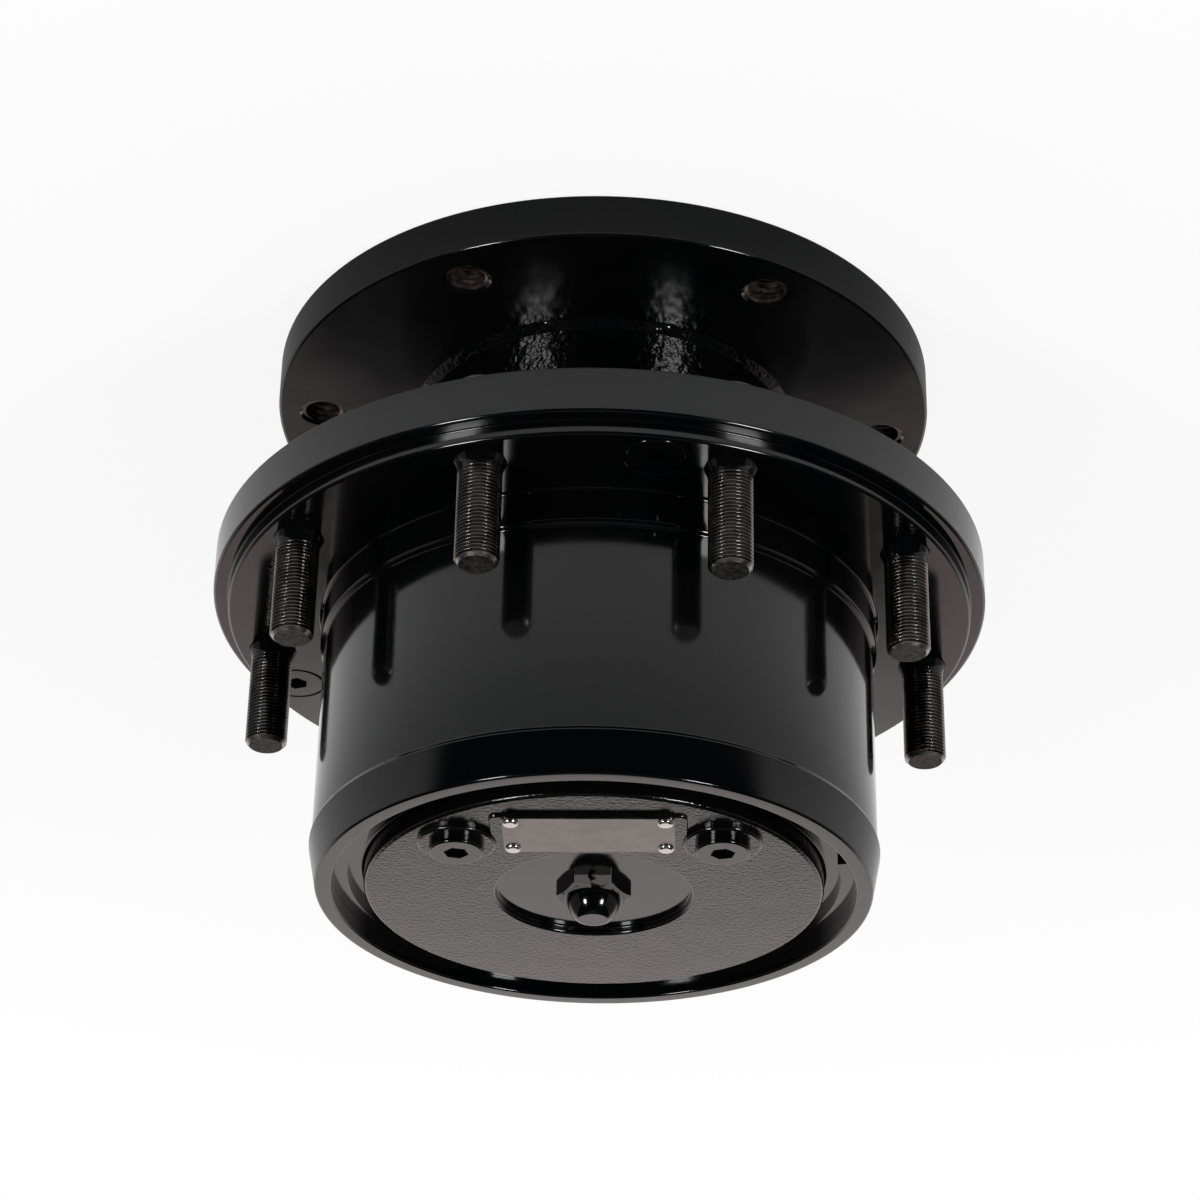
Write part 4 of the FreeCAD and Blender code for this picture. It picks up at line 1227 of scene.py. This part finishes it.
# White floor that ends in front of the drive; it shows white and keeps a soft shadow near the drive
floor_size = 6.0
floor_front = -1.3
floor_drop = 0.0005
shadow_share = 0.15
shadow_reach = (0.25, 0.8)

# Painted light on the floor, seen only in reflections: a painted pool of light, with the drive's painted
# shadow where it drops to 0.1 near the axis. Its level by the distance from the axis, in metres, how it leans
# brighter towards the back, and where it fades in front
painted_pool_levels = (
    (0, 0.1),
    (0.13, 0.2),
    (0.17, 0.38),
    (0.26, 0.7),
    (0.34, 0.84),
    (0.42, 0.72),
    (0.5, 0.55),
    (1, 0.5),
)
painted_pool_lean_span = (-0.5, 0.3)
painted_pool_lean = (0.82, 1.2)
painted_pool_front = (-0.85, -0.6)
deselect()
bpy.ops.mesh.primitive_plane_add(size=floor_size, location=(0, floor_front + floor_size / 2, -floor_drop))
floor = bpy.context.object
floor.name = "floor"
place_in_mesh(floor)
paper = bpy.data.materials.new("white_paper")
paper.use_nodes = True
tree = paper.node_tree
tree.nodes.clear()
matt = add(tree, "ShaderNodeBsdfDiffuse", {"Color": colour("#f4f4f4")})
glow = add(tree, "ShaderNodeEmission", {"Color": colour("#ffffff"), "Strength": 1})
path = add(tree, "ShaderNodeLightPath", {})
place = add(tree, "ShaderNodeTexCoord", {}).outputs["Object"]
reach = add(tree, "ShaderNodeVectorMath", {"Vector": place}, operation="LENGTH")
clear = add(
    tree,
    "ShaderNodeMapRange",
    {
        "Value": reach.outputs["Value"],
        "From Min": shadow_reach[0],
        "From Max": shadow_reach[1],
        "To Min": 1 - shadow_share,
    },
)
share = add(
    tree,
    "ShaderNodeMapRange",
    {"Value": path.outputs["Is Camera Ray"], "To Max": clear.outputs["Result"]},
)
mixed = add(tree, "ShaderNodeMixShader", {"Fac": share.outputs["Result"]})
tree.links.new(matt.outputs["BSDF"], mixed.inputs[1])
tree.links.new(glow.outputs["Emission"], mixed.inputs[2])
painted_pool_curve = add(tree, "ShaderNodeFloatCurve", {"Value": reach.outputs["Value"]})
spot = add(tree, "ShaderNodeSeparateXYZ", {"Vector": place})
lean = add(
    tree,
    "ShaderNodeMapRange",
    {
        "Value": spot.outputs["Y"],
        "From Min": painted_pool_lean_span[0],
        "From Max": painted_pool_lean_span[1],
        "To Min": painted_pool_lean[0],
        "To Max": painted_pool_lean[1],
    },
)
leaned = add(
    tree,
    "ShaderNodeMath",
    {0: painted_pool_curve.outputs["Value"], 1: lean.outputs["Result"]},
    operation="MULTIPLY",
)
front = add(
    tree,
    "ShaderNodeMapRange",
    {"Value": spot.outputs["Y"], "From Min": painted_pool_front[0], "From Max": painted_pool_front[1]},
)
painted_pool_strength = add(
    tree,
    "ShaderNodeMath",
    {0: leaned.outputs["Value"], 1: front.outputs["Result"]},
    operation="MULTIPLY",
)
# Glow seen only in reflections: the painted pool of light and the drive's painted shadow on the floor
painted_pool_glow = add(tree, "ShaderNodeEmission", {"Color": colour("#ffffff"), "Strength": painted_pool_strength.outputs["Value"]})
for number, painted_pool_level in enumerate(painted_pool_levels):
    points = painted_pool_curve.mapping.curves[0].points
    if 0 < number < len(painted_pool_levels) - 1:
        points.new(*painted_pool_level)
    else:
        points[-1 if number else 0].location = painted_pool_level
painted_pool_curve.mapping.update()
surface = add(tree, "ShaderNodeMixShader", {"Fac": mirrored(tree)})
tree.links.new(mixed.outputs["Shader"], surface.inputs[1])
tree.links.new(painted_pool_glow.outputs["Emission"], surface.inputs[2])
add(tree, "ShaderNodeOutputMaterial", {"Surface": surface.outputs["Shader"]})
floor.data.materials.append(paper)

# Black card behind the camera, seen only in reflections, for the dark lower walls
card_size = (6, 3.1)
card_place = (0, -1.5, 0.95)
deselect()
bpy.ops.mesh.primitive_plane_add(size=1, location=card_place, rotation=(math.radians(90), 0, 0))
card = bpy.context.object
card.name = "black_card"
card.scale = (*card_size, 1)
place_in_mesh(card)
felt = bpy.data.materials.new("black_felt")
felt.use_nodes = True
felt.node_tree.nodes.clear()
cloth = add(felt.node_tree, "ShaderNodeBsdfDiffuse", {"Color": colour("#050505")})
add(felt.node_tree, "ShaderNodeOutputMaterial", {"Surface": cloth.outputs["BSDF"]})
card.data.materials.append(felt)
card.visible_camera = False
card.visible_diffuse = False
card.visible_shadow = False


# Two square softboxes in front, one to each side; the level is their brightness beside a white wall's 1
lamp_aim = Vector((0, 0, 0.12))
lamp_size = 0.3
lamp_level = 48
lamp_distance = 1.9
lamp_climb = math.radians(29.4)
lamp_swing = math.radians(41.5)
for side, name in ((-1, "softbox_left"), (1, "softbox_right")):
    lamp = bpy.data.lights.new(name, "AREA")
    lamp.size = lamp_size
    lamp.energy = lamp_level * math.pi * lamp_size ** 2
    away = Vector((
        side * math.cos(lamp_climb) * math.sin(lamp_swing),
        -math.cos(lamp_climb) * math.cos(lamp_swing),
        math.sin(lamp_climb),
    ))
    holder = bpy.data.objects.new(name, lamp)
    scene.collection.objects.link(holder)
    holder.location = lamp_aim + lamp_distance * away
    holder.rotation_euler = away.to_track_quat("Z", "Y").to_euler()
    holder.visible_camera = False

# Camera at the photograph's angle, turned over as the photograph is
camera_target = (-0.000235, 0.0, 0.0969)
camera_distance = 1.241
camera_elevation = math.radians(29.39)
camera_roll = math.radians(181.12)
camera_data = bpy.data.cameras.new("camera")
camera_data.lens = 97.61
camera_data.sensor_width = 36
camera = bpy.data.objects.new("camera", camera_data)
scene.collection.objects.link(camera)
camera_place = (
    camera_target[0],
    camera_target[1] - camera_distance * math.cos(camera_elevation),
    camera_target[2] + camera_distance * math.sin(camera_elevation),
)
tilt = Matrix.Rotation(math.pi / 2 - camera_elevation, 4, "X")
camera.matrix_world = Matrix.Translation(camera_place) @ tilt @ Matrix.Rotation(camera_roll, 4, "Z")
scene.camera = camera
